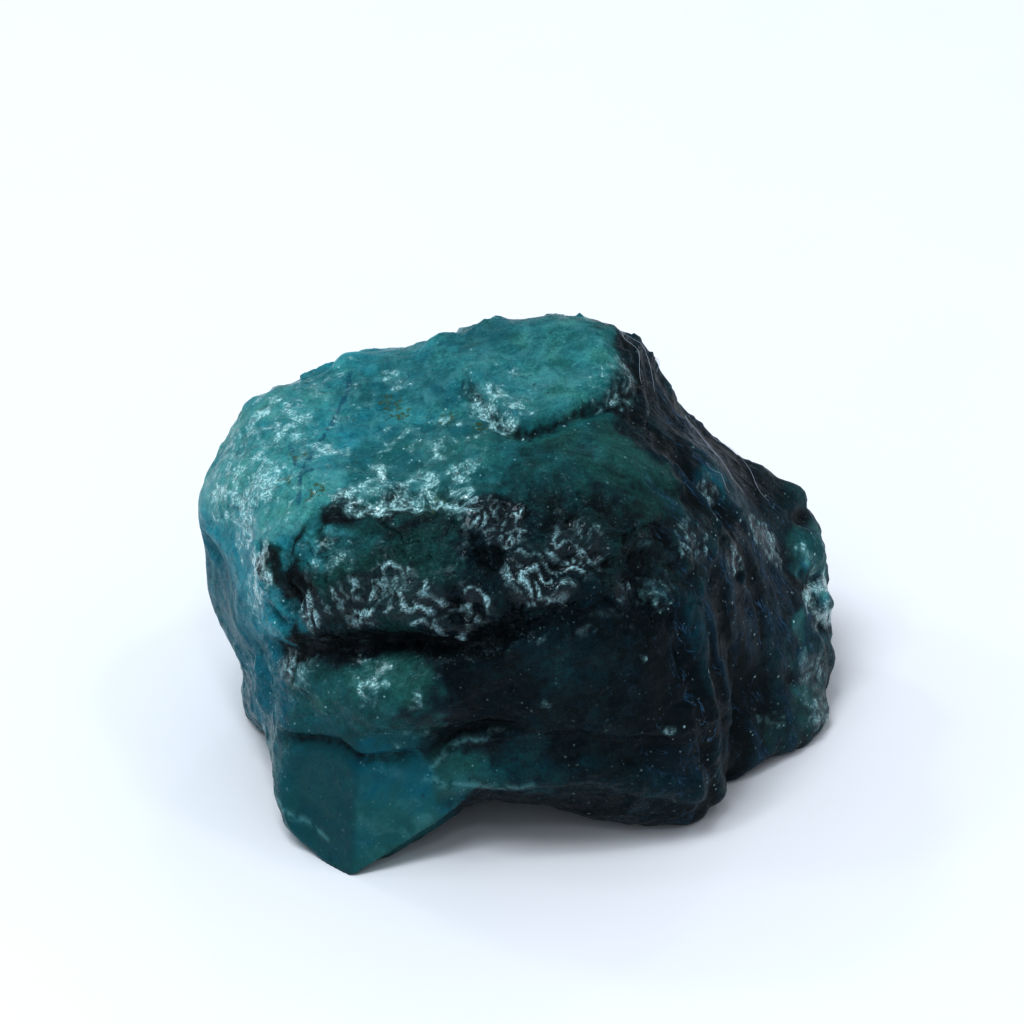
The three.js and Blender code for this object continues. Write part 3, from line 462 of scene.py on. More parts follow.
LINT_SEED = 12
LINT_ACROSS = 5
LINT_STEPS = 28
LINT_WAVES = 4
LINT_SMOOTHINGS = 3
LINT_TIP = 0.05
LINT_GAP = 0.02
LINT_LEAST_BOW = 0.03
LINT_LIFT = (0.0, 0.12)
LINT_SWAY = (0.3, 1.1)
LINT_STARTS = np.array([[5.1, 4.6, 20.1], [6.6, 4.6, 18.8], [8.4, 3.8, 16.4], [10.2, 4.2, 13.8]])
LINT_START_SPREAD = [0.7, 1.5, 0.7]
LINT_RUN = np.array([5.2, -0.2, -6.2])
LINT_RUN_SHARES = (0.15, 0.55)
LINT_END_SPREAD = [0.9, 1.2, 0.9]

# ---- Stage and lights, in metres ----

FLOOR_HALF = 1.5
# Small light panels: share of the power, and place
PANELS = [
    (0.17, -0.30, 0.24, 0.42), (0.16, -0.26, -0.18, 0.46), (0.09, 0.06, 0.34, 0.44),
    (0.14, 0.20, -0.05, 0.50), (0.14, -0.06, -0.10, 0.55), (0.14, -0.38, 0.02, 0.38),
    (0.16, 0.02, -0.30, 0.46),
]
PANEL_SIZE = 0.05
SOFTBOX_PLACE = (-0.14, -0.16, 0.60)
SOFTBOX_SIZE = 0.24
SENSOR_WIDTH = 36.0  # millimetres
CLIP_START = 0.01
LAMP_COLOUR = (0.84, 0.96, 1.0)
ROOM_COLOUR = (0.82, 0.94, 1.0, 1.0)


# ---- Noise on a lattice of whole numbers, the same as the CAD model's ----

def imul(values, factor):
    """The low 32 bits of values times factor."""
    return values.astype(np.uint32) * np.uint32(factor)


def lattice_hash(i, j, k, seed):
    """A scrambled 32-bit number for each whole-numbered place."""
    h = imul(i, 374761393) ^ imul(j, 668265263) ^ imul(k, 1274126177)
    h ^= np.uint32(seed * 974634777 & 0xFFFFFFFF)
    h = imul(h ^ (h >> np.uint32(13)), 1274126177)
    h = imul(h ^ (h >> np.uint32(16)), 2654435769)
    return h ^ (h >> np.uint32(15))


def unit(h):
    """32-bit numbers as fractions of 1."""
    return h / 2.0**32


def rehash(h, factor):
    """A second fraction drawn from each 32-bit number."""
    return unit(imul(h, factor) + np.uint32(factor))


def three_draws(h):
    """Three fractions drawn from each 32-bit number."""
    return np.stack([rehash(h, factor) for factor in (374761393, 668265263, 1274126177)], axis=1)


def lattice(points, seed):
    """Smooth value noise from -1 to 1: hashed corner values blended by quintic weights."""
    cell = np.floor(points).astype(np.int64)
    t = points - cell
    t = t**3 * (t * (t * 6 - 15) + 10)
    total = np.zeros(len(points))
    for corner in np.ndindex(2, 2, 2):
        weight = np.prod(np.where(corner, t, 1 - t), axis=1)
        total += weight * unit(lattice_hash(*(cell + corner).T, seed))
    return total * 2 - 1


def clouds(points, seed, octaves=2):
    """Octaves of value noise, each half as large and half as strong as the last."""
    total = sum(lattice(points * 2**n, seed + n) / 2**n for n in range(octaves))
    return total / (2 - 2.0 ** (1 - octaves))


def layer(points, size, seed, reach=1.0, octaves=2):
    """Clouds of a size, as high as their reach."""
    return reach * clouds(points / size, seed, octaves)


def push(points, size, reach, seeds):
    """Offsets by slow clouds, with a seed for each axis."""
    return reach * np.stack([clouds(points / size, seed) for seed in seeds], axis=1)


def nearest_cell(points, seed):
    """Distance and offset from the nearest jittered cell centre, and the cell's hash."""
    base = np.floor(points).astype(np.int64)
    distance = np.full(len(points), np.inf)
    offset = np.zeros_like(points)
    name = np.zeros(len(points), np.uint32)
    for step in np.ndindex(3, 3, 3):
        cell = base + np.array(step) - 1
        h = lattice_hash(*cell.T, seed)
        jitter = np.stack([unit(h), rehash(h, 2246822519), rehash(h, 3266489917)], axis=1)
        away = points - cell - jitter
        d = np.linalg.norm(away, axis=1)
        near = d < distance
        distance = np.where(near, d, distance)
        offset = np.where(near[:, None], away, offset)
        name = np.where(near, h, name)
    return distance, offset, name


def hollows(points, size, height, seed):
    """Scalloped hollows that meet in sharp rims: the squared distance to the cell centre."""
    distance, _, _ = nearest_cell(points / size, seed)
    return height * (distance**2 - SCALLOP_MEAN)


def chips(points, size, height, seed):
    """Flat chips, each tilted and raised its own way."""
    _, offset, name = nearest_cell(points / size, seed)
    tilt = three_draws(name) * 2 - 1
    return height * ((tilt * offset).sum(axis=1) + rehash(name, 2654435769) - 0.5)


# ---- Directions and patches ----

def smooth(x, low, high):
    """0 below low, 1 above high, with an S curve between."""
    t = np.clip((x - low) / (high - low), 0, 1)
    return t * t * (3 - 2 * t)


def directions_of(places):
    """Unit directions from the heart to places."""
    v = np.atleast_2d(np.asarray(places, float)) - HEART
    return v / np.linalg.norm(v, axis=1, keepdims=True)


def arc(directions, place):
    """Distance in millimetres round the stone from one place, along a chord."""
    return np.linalg.norm(directions - directions_of(place), axis=1) * SPREAD


def patches(directions, spots, fade, ragged=0.0):
    """The strongest of several round patches at each direction, each (place, radius, strength)."""
    strongest = np.zeros(len(directions))
    for place, radius, *strength in spots:
        away = arc(directions, place) + ragged
        cover = (strength[0] if strength else 1.0) * (1 - smooth(away, radius, radius + fade))
        strongest = np.maximum(strongest, cover)
    return strongest


# ---- The stone's surface ----

def kernel(a, b):
    """Minus the multiquadric of the chord between each direction in a and each in b."""
    squares = 2 - 2 * np.clip(a @ b.T, -1, 1)
    return -np.sqrt(squares + SKIN_SOFTNESS**2)


def fit_skin():
    """Weights that make the radius a constant minus a weighted sum of multiquadrics.

    One linear system: the radius at each landmark is met, and the weights add up to zero.
    """
    places = np.array([place for group in LANDMARKS.values() for place in group])
    stops = directions_of(places)
    n = len(stops)
    system = np.ones((n + 1, n + 1))
    system[:n, :n] = kernel(stops, stops)
    system[n, n] = 0
    radii = np.append(np.linalg.norm(places - HEART, axis=1), 0)
    return stops, np.linalg.solve(system, radii)


def skin_radius(skin, directions):
    """The skin's radius along each direction."""
    stops, weights = skin
    return kernel(directions, stops) @ weights[:-1] + weights[-1]


def foot_radius(directions, radius):
    """The skin with the foot's flat faces let in, and which face each point lies on.

    The radius is the soft minimum -k·log(sum of exp(-r / k)) of the skin grown outwards and the
    planes' own radii r, faded by distance. The second value runs from -1 on the first face to
    1 on the second.
    """
    away = np.linalg.norm(directions - directions_of(FOOT_CENTRE), axis=1) * radius
    weight = 1 - smooth(away, FOOT_INNER, FOOT_OUTER)
    shares = [np.exp(-FOOT_GROWTH / FOOT_EDGE) * np.ones(len(radius))]
    for a, b, c in np.array(FOOT_FACES):
        normal = np.cross(b - a, c - a)
        normal /= np.linalg.norm(normal) * np.sign(normal @ (a - HEART))
        slope = directions @ normal
        reach = normal @ (a - HEART) / np.maximum(slope, FOOT_SLOPE)
        over = np.clip((reach - radius) / FOOT_EDGE, -60, 60)
        shares.append(np.where(slope > FOOT_SLOPE, np.exp(-over), 0))
    total = sum(shares)
    flat = radius - FOOT_EDGE * np.log(total)
    return radius * (1 - weight) + flat * weight, weight * (shares[2] - shares[1]) / total


def near_path(directions, radius, path):
    """Distance to a path over the stone, the side of it (+1 left of its run), and how far along
    from its nearer end. Each stretch is the straight line between two directions."""
    stops = directions_of(path)
    distance = np.full(len(directions), np.inf)
    side = np.ones(len(directions))
    along = np.full(len(directions), np.inf)
    if len(stops) == 1:
        return np.linalg.norm(directions - stops[0], axis=1) * radius, side, along
    lengths = np.linalg.norm(np.diff(stops, axis=0), axis=1)
    starts = np.concatenate([[0], np.cumsum(lengths)])
    for a, b, start, length in zip(stops, stops[1:], starts, lengths):
        t = np.clip((directions - a) @ (b - a) / length**2, 0, 1)
        near = a + t[:, None] * (b - a)
        near /= np.linalg.norm(near, axis=1, keepdims=True)
        d = np.linalg.norm(directions - near, axis=1) * radius
        closer = d < distance
        distance = np.where(closer, d, distance)
        side = np.where(closer, np.sign(directions @ np.cross(a, b)), side)
        run = start + t * length
        along = np.where(closer, np.minimum(run, starts[-1] - run) * SPREAD, along)
    return distance, side, along


def ledge(directions, radius, path, depth, width, step, reach, dark):
    """A groove with a bell section, and a lip on its left that falls off over its reach: the
    height, and the painted shade of the groove and its sides, from 0 to 1."""
    distance, side, along = near_path(directions, radius, path)
    ends = smooth(along, 0, END_FADE)
    groove = np.exp(-((distance / width) ** 2))
    lip = step * smooth(side * distance, -width, width) * np.exp(-distance / reach)
    shade_width = np.where(side > 0, *PAINTED_SHADE_WIDTH) * width
    shade = np.exp(-((distance / shade_width) ** 2))
    return (lip - depth * groove) * ends, dark * shade * ends


def swelling(directions, radius, path, height, width):
    """A round ridge or knob: height times (1 - (distance / width)²) to a power."""
    distance, _, _ = near_path(directions, radius, path)
    return height * np.clip(1 - (distance / width) ** 2, 0, None) ** SWELLING_POWER


def zones_at(directions):
    """How much each direction belongs to each zone, from 0 to 1."""
    return {
        "everywhere": 1.0,
        "band": patches(directions, BAND, BAND_FADE),
        "right": smooth(directions[:, 0], *RIGHT_SIDE),
        "back": smooth(directions[:, 1], *BACK_SIDE),
        "foot": 1 - smooth(arc(directions, FOOT_CENTRE), FOOT_INNER, FOOT_OUTER),
        "crest": patches(directions, CREST, CREST_FADE),
        "calm": patches(directions, CALM, CALM_FADE),
    }


def strength_of(zones, shares):
    """How strong a relief is: the sum of its share in each zone."""
    return sum(share * zones[name] for name, share in shares.items())


def bend(points):
    """Coordinates pushed about by slow clouds, so that no pattern runs straight."""
    return (points + push(points, **WARP)) * GRAIN_STRETCH


def folds(points, form):
    """Folds that hang down the right side: less a multiple of sqrt(n² + rounding²), where n is a
    cloud value in coordinates that are drawn out along x and z and swayed by slow clouds."""
    swayed = points + push(points, **FOLD_SWAY)
    drawn = swayed * [form["stretch"], 1, form["stretch"]] / form["size"]
    return FOLD_MIDDLE - FOLD_SHARPNESS * np.hypot(clouds(drawn, form["seed"]), FOLD_ROUNDING)


def relief(points, bent, zones):
    """The relief that the CAD model has too."""
    rough = sum(hollows(bent, *form) for form in SCALLOPS) + chips(bent, *CHIPS)
    rough = rough * strength_of(zones, ROUGHNESS) * (1 - CREST_CALM * zones["crest"])
    draped = FOLDS["height"] * folds(points, FOLDS) * np.maximum(zones["right"], zones["crest"])
    return (rough + draped) * (1 - FOOT_CALM * zones["foot"]) + layer(points, **SWELL)


def fine_relief(points, bent, zones):
    """Relief too small for the CAD model: small hollows, chips, grain, lobes, pits and folds. The
    calm places and the crest have little of it, and the crest loses most of its coarse folds."""
    rough = hollows(bent, *FINE_SCALLOPS) + chips(bent, *FINE_CHIPS) + layer(points, **FINE_GRAIN)
    height = rough * strength_of(zones, FINE_ROUGHNESS)
    for form in LOBES:
        height -= hollows(bent, *form) * zones["band"]
    distance, _, name = nearest_cell(points / PITS["size"], PITS["seed"])
    chosen = rehash(name, 668265263) < PITS["share"]
    pit = np.exp(-((distance * PITS["size"] / PITS["width"]) ** 2))
    height -= PITS["depth"] * pit * chosen
    height *= math.prod(1 - share * zones[name] for name, share in FINE_LOSS.items())
    height += FINE_FOLDS["height"] * folds(points, FINE_FOLDS) * zones["right"] * (1 - zones["crest"])
    return height - CREST_UNFOLDED * FOLDS["height"] * folds(points, FOLDS) * zones["crest"]


def curled_lips(points, directions, band):
    """Nested curled lips, from 0 to 1, and how wet the places about them look.

    The lips are ridges at even steps of the distance to a centre of curvature, which lies to one
    side of each jittered cell, so that a cell shows a few arcs. They close up in the chosen
    patches and are a few broken pieces in the rest of the band.
    """
    chosen = patches(directions, CURLS, CURL_FADE, layer(points, **CURL_EDGE))
    cover = np.maximum(chosen, CURL_SHARE * band)
    _, offset, name = nearest_cell((points + push(points, **CURL_SWAY)) / CURL_SIZE, CURL_SEED)
    bow = three_draws(name) - 0.5
    bow *= CURL_BOW / np.linalg.norm(bow, axis=1, keepdims=True)
    wave = np.sin(2 * np.pi * CURL_RINGS * np.linalg.norm(offset - bow, axis=1))
    whole = smooth(layer(points, **CURL_BREAKS) + 0.9 * cover, 0.2, 0.7)
    gleam = DULLEST_GLEAM + (1 - DULLEST_GLEAM) * smooth(layer(points, **CURL_GLEAM), -0.4, 0.4)
    lip = smooth(wave, 0.0, 0.85) * whole * gleam * smooth(cover, 0.1, 0.4)
    return lip, np.maximum(chosen, BAND_WET * band * whole)


def stone_surface(directions, fine=1.0):
    """Points of the surface in millimetres, with the masks that its finish is painted by."""
    radius, facet = foot_radius(directions, skin_radius(fit_skin(), directions))
    points = HEART + directions * radius[:, None]
    height = np.zeros(len(directions))
    # the painted shade of the ledges' grooves and their sides is gathered here
    crack = np.zeros(len(directions))
    for form in LEDGES.values():
        rise, groove = ledge(directions, radius, **form)
        height += rise
        crack = np.maximum(crack, groove)
    for path, tall, wide in SWELLINGS:
        height += swelling(directions, radius, path, tall, wide)
    zones = zones_at(directions)
    bent = bend(points)
    coarse = relief(points, bent, zones) * (1 - COARSE_CALM * zones["calm"])
    lip, wet = curled_lips(points, directions, zones["band"])
    rough = coarse + fine * (fine_relief(points, bent, zones) + CURL_HEIGHT * lip)
    surface = points + directions * (height + rough)[:, None]
    surface -= PLAN_CENTRE
    surface[:, 2] = np.maximum(surface[:, 2], 0)
    fold = folds(points, FOLDS)
    return surface, dict(zones, crack=crack, relief=height + rough, lip=lip, wet=wet, fold=fold, facet=facet)


def shade_masks(directions, surface, facet):
    """Tone and blueness: a weighted mean of the shades, each weight a bell over its reach. The
    foot's second face is painted lighter than its first, as painted light and shade, and mottled."""
    away = [
        sum(layer(surface, size, seed, reach, octaves) for size, octaves, reach in SHADE_PUSH)
        for seed in SHADE_SEEDS
    ]
    ragged = directions + SHADE_REACH * np.stack(away, axis=1)
    ragged /= np.linalg.norm(ragged, axis=1, keepdims=True)
    total = np.full(len(directions), 1e-9)
    tone = 0.3 * total
    blue = 0.5 * total
    for place, reach, shade, blueness in SHADES:
        weight = np.exp(-((SHADE_SHARPNESS * arc(ragged, place) / reach) ** 2))
        total += weight
        tone += weight * shade
        blue += weight * blueness
    mottle = layer(surface, **FOOT_MOTTLE) * np.maximum(facet, 0)
    return tone / total + FACE_PAINTED_LIGHT * facet + mottle, blue / total + MOTTLE_BLUE * mottle


def finish_masks(directions, surface, radius):
    """Frost that is partly painted glints, veins, painted edge highlights and stains, each with ragged
    edges.
    """
    ragged = layer(surface, **RAGGED)
    wander = layer(surface, **WANDER)

    def lines(paths):
        strongest = np.zeros(len(directions))
        for path, width in paths:
            distance, _, along = near_path(directions, radius, path)
            line = np.exp(-(((distance + wander) / width) ** 2)) * smooth(along, 0, LINE_FADE)
            strongest = np.maximum(strongest, line)
        return strongest

    return {
        "frost_and_glint": patches(directions, FROST, FROST_FADE, ragged),
        "vein": lines(VEINS),
        "edge": lines(EDGES),
        "stain": patches(directions, STAINS, STAIN_FADE, STAIN_RAGGED * ragged),
    }


# ---- Meshes ----

def ball_grid(rows, draw):
    """Directions on six square grids that close into a ball, and their quads.

    A grid's two parameters u and v run from -45 to 45 degrees; a point is the grid's middle plus
    tan(u) and tan(v) along its sides. The directions are then drawn towards `draw`, which
    makes the quads smaller there. Points that two grids share are made one.
    """
    t = np.tan(np.linspace(-np.pi / 4, np.pi / 4, rows + 1))
    a, b = np.meshgrid(t, t, indexing="ij")
    one = np.ones_like(a)
    sheets = [(one, a, b), (-one, b, a), (b, one, a), (a, -one, b), (a, b, one), (b, a, -one)]
    points = np.concatenate([np.stack(sheet, -1).reshape(-1, 3) for sheet in sheets])
    points /= np.linalg.norm(points, axis=1, keepdims=True)
    corner = (np.arange(rows)[:, None] * (rows + 1) + np.arange(rows)).ravel()
    quad = np.stack([corner, corner + rows + 1, corner + rows + 2, corner + 1], axis=1)
    quads = np.concatenate([quad + n * (rows + 1) ** 2 for n in range(len(sheets))])
    _, first, where = np.unique(np.round(points, 6), axis=0, return_index=True, return_inverse=True)
    points = points[first] + draw
    points /= np.linalg.norm(points, axis=1, keepdims=True)
    return points, where.reshape(-1)[quads]


def add_mesh(name, points, faces, material, attributes=None):
    """A mesh object at the origin, smooth shaded, with one number per point for each attribute."""
    mesh = bpy.data.meshes.new(name)
    mesh.from_pydata(points * MM, [], faces)
    for label, values in (attributes or {}).items():
        made = mesh.attributes.new(label, "FLOAT", "POINT")
        made.data.foreach_set("value", values.astype(np.float32))
    mesh.materials.append(material)
    mesh.shade_smooth()
    mesh.update()
    piece = bpy.data.objects.new(name, mesh)
    bpy.context.scene.collection.objects.link(piece)
    return piece


# ---- Shader building ----

class Link:
    """A socket in its tree, so that sums of nodes read as plain sums."""

    def __init__(self, tree, socket):
        self.tree = tree
        self.socket = socket

    def calc(self, operation, *others):
        """A Math node's value, with this one first."""
        return math_node(self.tree, operation, self, *others)

    def __add__(self, other):
        return self.calc("ADD", other)

    def __sub__(self, other):
        return self.calc("SUBTRACT", other)

    def __mul__(self, other):
        return self.calc("MULTIPLY", other)

    def __truediv__(self, other):
        return self.calc("DIVIDE", other)

    def __rsub__(self, other):
        return math_node(self.tree, "SUBTRACT", other, self)

    def __rtruediv__(self, other):
        return math_node(self.tree, "DIVIDE", other, self)

    __radd__ = __add__
    __rmul__ = __mul__

    def most(self, other):
        """The larger of two values."""
        return self.calc("MAXIMUM", other)

    def ramp(self, low, high, out_low=0.0, out_high=1.0):
        """The value carried from one range to another along an S curve."""
        inputs = {0: self, 1: low, 2: high, 3: out_low, 4: out_high}
        made = add_node(self.tree, "ShaderNodeMapRange", inputs, interpolation_type="SMOOTHSTEP")
        return Link(self.tree, made.outputs[0])


def feed(made, inputs):
    """Links each named or numbered input of a node, or gives it its value."""
    for key, value in inputs.items():
        if isinstance(value, Link):
            value.tree.links.new(value.socket, made.inputs[key])
        else:
            made.inputs[key].default_value = value


def add_node(tree, kind, inputs=None, **settings):
    """A node with its settings and its inputs."""
    made = tree.nodes.new(kind)
    for key, value in settings.items():
        setattr(made, key, value)
    feed(made, inputs or {})
    return made


def math_node(tree, operation, *values):
    """A Math node's value."""
    made = add_node(tree, "ShaderNodeMath", dict(enumerate(values)), operation=operation)
    return Link(tree, made.outputs[0])


def vector(operation, a, b, output="Vector"):
    """A Vector Math node's result."""
    inputs = {0: a, ("Scale" if operation == "SCALE" else 1): b}
    made = add_node(a.tree, "ShaderNodeVectorMath", inputs, operation=operation)
    return Link(a.tree, made.outputs[output])


def blend(factor, a, b, kind="MIX"):
    """A colour between a and b; a plain colour is given as three numbers."""
    tree = next(value.tree for value in (factor, a, b) if isinstance(value, Link))
    a, b = (value if isinstance(value, Link) else (*value, 1) for value in (a, b))
    made = add_node(tree, "ShaderNodeMix", {0: factor, 6: a, 7: b}, data_type="RGBA", blend_type=kind)
    return Link(tree, made.outputs[2])


def colour_steps(value, steps):
    """A colour that runs through several steps, each (position, colour)."""
    made = add_node(value.tree, "ShaderNodeValToRGB", {0: value})
    stops = made.color_ramp.elements
    while len(stops) < len(steps):
        stops.new(1.0)
    for stop, (at, colour) in zip(stops, steps):
        stop.position = at
        stop.color = (*colour, 1)
    return Link(value.tree, made.outputs["Color"])


def noise(place, scale, detail=2.0, distortion=0.0, roughness=0.5, output="Fac"):
    """Noise from 0 to 1; its lumps are about 1 / scale across."""
    inputs = {"Vector": place, "Scale": scale, "Detail": detail, "Distortion": distortion,
              "Roughness": roughness}
    return Link(place.tree, add_node(place.tree, "ShaderNodeTexNoise", inputs).outputs[output])


def cells(place, size):
    """Cells of a size: the distance to the cell's middle, three random draws, and the middle."""
    made = add_node(place.tree, "ShaderNodeTexVoronoi", {"Vector": place, "Scale": 1 / size})
    return [Link(place.tree, made.outputs[name]) for name in ("Distance", "Color", "Position")]


def turned(place, turn=(0, 0, 0), stretch=(1, 1, 1)):
    """Coordinates along turned axes, with the pattern drawn out along them."""
    inputs = {"Vector": place, "Rotation": turn, "Scale": stretch}
    made = add_node(place.tree, "ShaderNodeMapping", inputs, vector_type="TEXTURE")
    return Link(place.tree, made.outputs[0])


def millimetres(tree):
    """Object coordinates in millimetres."""
    metres = Link(tree, add_node(tree, "ShaderNodeTexCoord").outputs["Object"])
    return turned(metres, stretch=(MM, MM, MM))


def add_group(name, **ins):
    """A node group and its inputs, each given its default, or None for a vector."""
    group = bpy.data.node_groups.new(name, "ShaderNodeTree")
    for label, default in ins.items():
        kind = "NodeSocketVector" if default is None else "NodeSocketFloat"
        socket = group.interface.new_socket(label, in_out="INPUT", socket_type=kind)
        if default is not None:
            socket.default_value = default
    given = group.nodes.new("NodeGroupInput").outputs
    return group, {label: Link(group, given[label]) for label in ins}


def close_group(group, **outs):
    """The group, once it puts out the values that are named."""
    for label in outs:
        group.interface.new_socket(label, in_out="OUTPUT", socket_type="NodeSocketFloat")
    end = group.nodes.new("NodeGroupOutput")
    for label, value in outs.items():
        group.links.new(value.socket, end.inputs[label])
    return group


def placed(group, place, **inputs):
    """A group's outputs, once it is placed in the tree of its coordinates."""
    made = add_node(place.tree, "ShaderNodeGroup", {"Place": place, **inputs}, node_tree=group)
    return {socket.name: Link(place.tree, socket) for socket in made.outputs}


def grain_group():
    """Fine grain: noise as a 0 to 1 value, and as a height either side of zero. Made once."""
    name = "Fine grain"
    if name in bpy.data.node_groups:
        return bpy.data.node_groups[name]
    group, ins = add_group(name, Place=None, Size=0.3, Rise=0.01)
    value = noise(ins["Place"], 1 / ins["Size"], 3.0)
    return close_group(group, Value=value, Height=(value - 0.5) * ins["Rise"])


def frost_group():
    """Frosted crust: soft-edged blobs of noise above a level that sinks as the cover grows,
    filled with fine bright grains that are partly painted glints. The haze reaches a little further
    than the blobs and is partly painted sheen."""
    group, ins = add_group("Frosted grains", Place=None, Size=0.9, Cover=0.5)
    scale = 1 / ins["Size"]
    blobs = noise(ins["Place"], scale, 4.0, 0.3, 0.6)
    above = blobs - (0.68 - 0.24 * ins["Cover"])
    open_ends = ins["Cover"].ramp(0.02, 0.25)
    grains = noise(ins["Place"], 5 * scale, 3.0, 0.2, 0.6)
    lit = grains.ramp(0.43, 0.58, 0.12, 1.0)
    return close_group(
        group, Mask=above.ramp(-0.02, 0.16) * open_ends * lit, Haze=above.ramp(-0.14, 0.14) * open_ends,
    )


def speck_group():
    """Specks: chosen cells of a warped pattern, each a soft-edged spot with a size and
    brightness of its own."""
    group, ins = add_group("Specks", Place=None, Size=0.5, Warp=0.4, Share=0.3, Radius=0.35)
    sway = vector("SUBTRACT", noise(ins["Place"], 1.6, 1.0, output="Color"), (0.5, 0.5, 0.5))
    warped = vector("ADD", ins["Place"], vector("SCALE", sway, ins["Warp"]))
    distance, name, _ = cells(warped, ins["Size"])
    draws = add_node(group, "ShaderNodeSeparateColor", {0: name}).outputs
    chance, width, gleam = (Link(group, draw) for draw in draws)
    radius = ins["Radius"] * (0.4 + 0.6 * width)
    spot = (distance / radius).ramp(0.2, 1.0, 1.0, 0.0)
    chosen = chance.calc("LESS_THAN", ins["Share"])
    return close_group(group, Mask=spot * chosen * (0.2 + 0.8 * gleam))


def facet_group():
    """Crystal facets as a height: inside each cell the surface is a plane, tilted at random."""
    group, ins = add_group("Crystal facets", Place=None, Size=0.3)
    _, name, middle = cells(ins["Place"], ins["Size"])
    offset = vector("SUBTRACT", ins["Place"], middle)
    tilt = vector("SUBTRACT", name, (0.5, 0.5, 0.5))
    return close_group(group, Height=vector("DOT_PRODUCT", tilt, offset, "Value"))


def fibre_group():
    """Broad soft streaks and a few thin threads, in coordinates that are drawn out already."""
    group, ins = add_group("Fibres", Place=None, Size=0.4)
    scale = 1 / ins["Size"]
    broad = noise(ins["Place"], scale, 3.0, 0.35)
    fine = noise(ins["Place"], 2.3 * scale, 2.0, 0.5)
    away = (fine - 0.52).calc("ABSOLUTE")
    thread_glint = away.ramp(0.0, 0.03, 1.0, 0.0) * broad.ramp(0.46, 0.62)
    return close_group(group, Soft=broad.ramp(0.42, 0.68), Thread=thread_glint, Height=0.2 * thread_glint + broad)


def principled(material):
    """The material's node tree and its shader."""
    material.use_nodes = True
    tree = material.node_tree
    return tree, tree.nodes["Principled BSDF"]


def beryl_patterns(tree):
    """The mesh's masks, and the patterns that more than one side of the finish uses. Draped places
    are those where folds and fibres hang: the right side and its crest."""
    place = millimetres(tree)
    masks = {
        name: Link(tree, add_node(tree, "ShaderNodeAttribute", attribute_name=name).outputs["Fac"])
        for name in FINISH_MASKS
    }
    frost_and_glint = placed(frost_group(), place, Size=FROST_SIZE, Cover=masks["frost_and_glint"])
    return SimpleNamespace(
        **masks,
        place=place,
        draped=masks["right"].most(masks["crest"]),
        hanging=placed(fibre_group(), turned(place, stretch=FIBRES["stretch"]), Size=FIBRES["size"]),
        frost_glinting=frost_and_glint["Mask"],
        haze=frost_and_glint["Haze"],
        curl_glint=masks["lip"] * noise(place, 8.0, 3.0).ramp(0.38, 0.58, 0.25, 1.0),
    )


def body_colour(p, look):
    """The crystal's colour with painted light and shade: tone broken up by clouds, with painted shade
    in the hollows, a greener or bluer cast, milky places, healed cracks, stains, cracks with painted
    shade, painted sheen streaks and glint threads, and painted highlights on edges."""
    tone = p.tone
    cloudy = 1 - 0.75 * p.foot
    for scale, detail, share in TONE_CLOUDS:
        tone = tone + share * cloudy * (noise(p.place, scale, detail, 0.6) - 0.5)
    # painted shade: the tone falls where the relief sinks, most in the band and on the right side
    hollow_shade = p.relief.ramp(-0.45, 0.25, 1.0, 0.0)
    tone = tone - (0.1 + 0.3 * p.band.most(p.right)) * hollow_shade
    colour = colour_steps(tone, [
        (0.04, look.darkest), (0.2, look.dark), (0.4, look.deep), (0.68, look.middle), (1.0, look.palest),
    ])
    greener = blend(1.0, colour, look.green_cast, "MULTIPLY")
    bluer = blend(1.0, colour, look.blue_cast, "MULTIPLY")
    colour = blend(1.2 * (noise(p.place, 0.8, 4.0) - 0.5) + p.blue, greener, bluer)
    milky = noise(p.place, 0.7, 5.0, 1.0).ramp(0.45, 0.75) * p.tone.ramp(0.4, 0.9)
    colour = blend(milky * p.blue.ramp(0.5, 1.0, 0.4, 0.1), colour, look.haze)

    broken = noise(p.place, 2.5, 3.0).ramp(0.35, 0.6)
    line = p.vein.ramp(0.35, 0.8) * broken.ramp(0.0, 0.5, 0.35, 0.8)
    colour = blend(line, colour, look.vein)
    stains = (0.25 * p.stain + noise(p.place, 3.2, 3.0, 0.0, 0.6)).ramp(0.74, 0.86)
    colour = blend(0.75 * stains * p.stain.ramp(0.0, 0.2), colour, look.stain)
    # cracks: near-black painted shade in and beside the grooves, broken up by noise
    ragged = 0.9 * noise(p.place, 3.0, 3.0) + (p.crack - 0.45)
    colour = blend(0.92 * ragged.ramp(0.3, 0.85), colour, look.darkest)

    # painted sheen streaks and painted glint threads hang down the right side, and painted silky
    # reflections lie over the calm top
    soft, thread_glint = p.hanging["Soft"], p.hanging["Thread"]
    colour = blend(0.4 * soft * p.draped * p.fold.ramp(-0.35, 0.25), colour, look.satin_sheen)
    colour = blend(0.6 * thread_glint * p.draped, colour, look.thread_glint)
    silky_reflection = p.calm * p.tone.ramp(0.3, 0.5) * p.foot.ramp(0.0, 0.5, 1.0, 0.0)
    colour = blend(0.12 * soft * silky_reflection, colour, look.palest)
    colour = blend(0.3 * thread_glint * silky_reflection, colour, look.palest)
    # painted highlights along edges of the foot, the belt and the left heel
    return blend(0.4 * p.edge * broken, colour, look.haze)


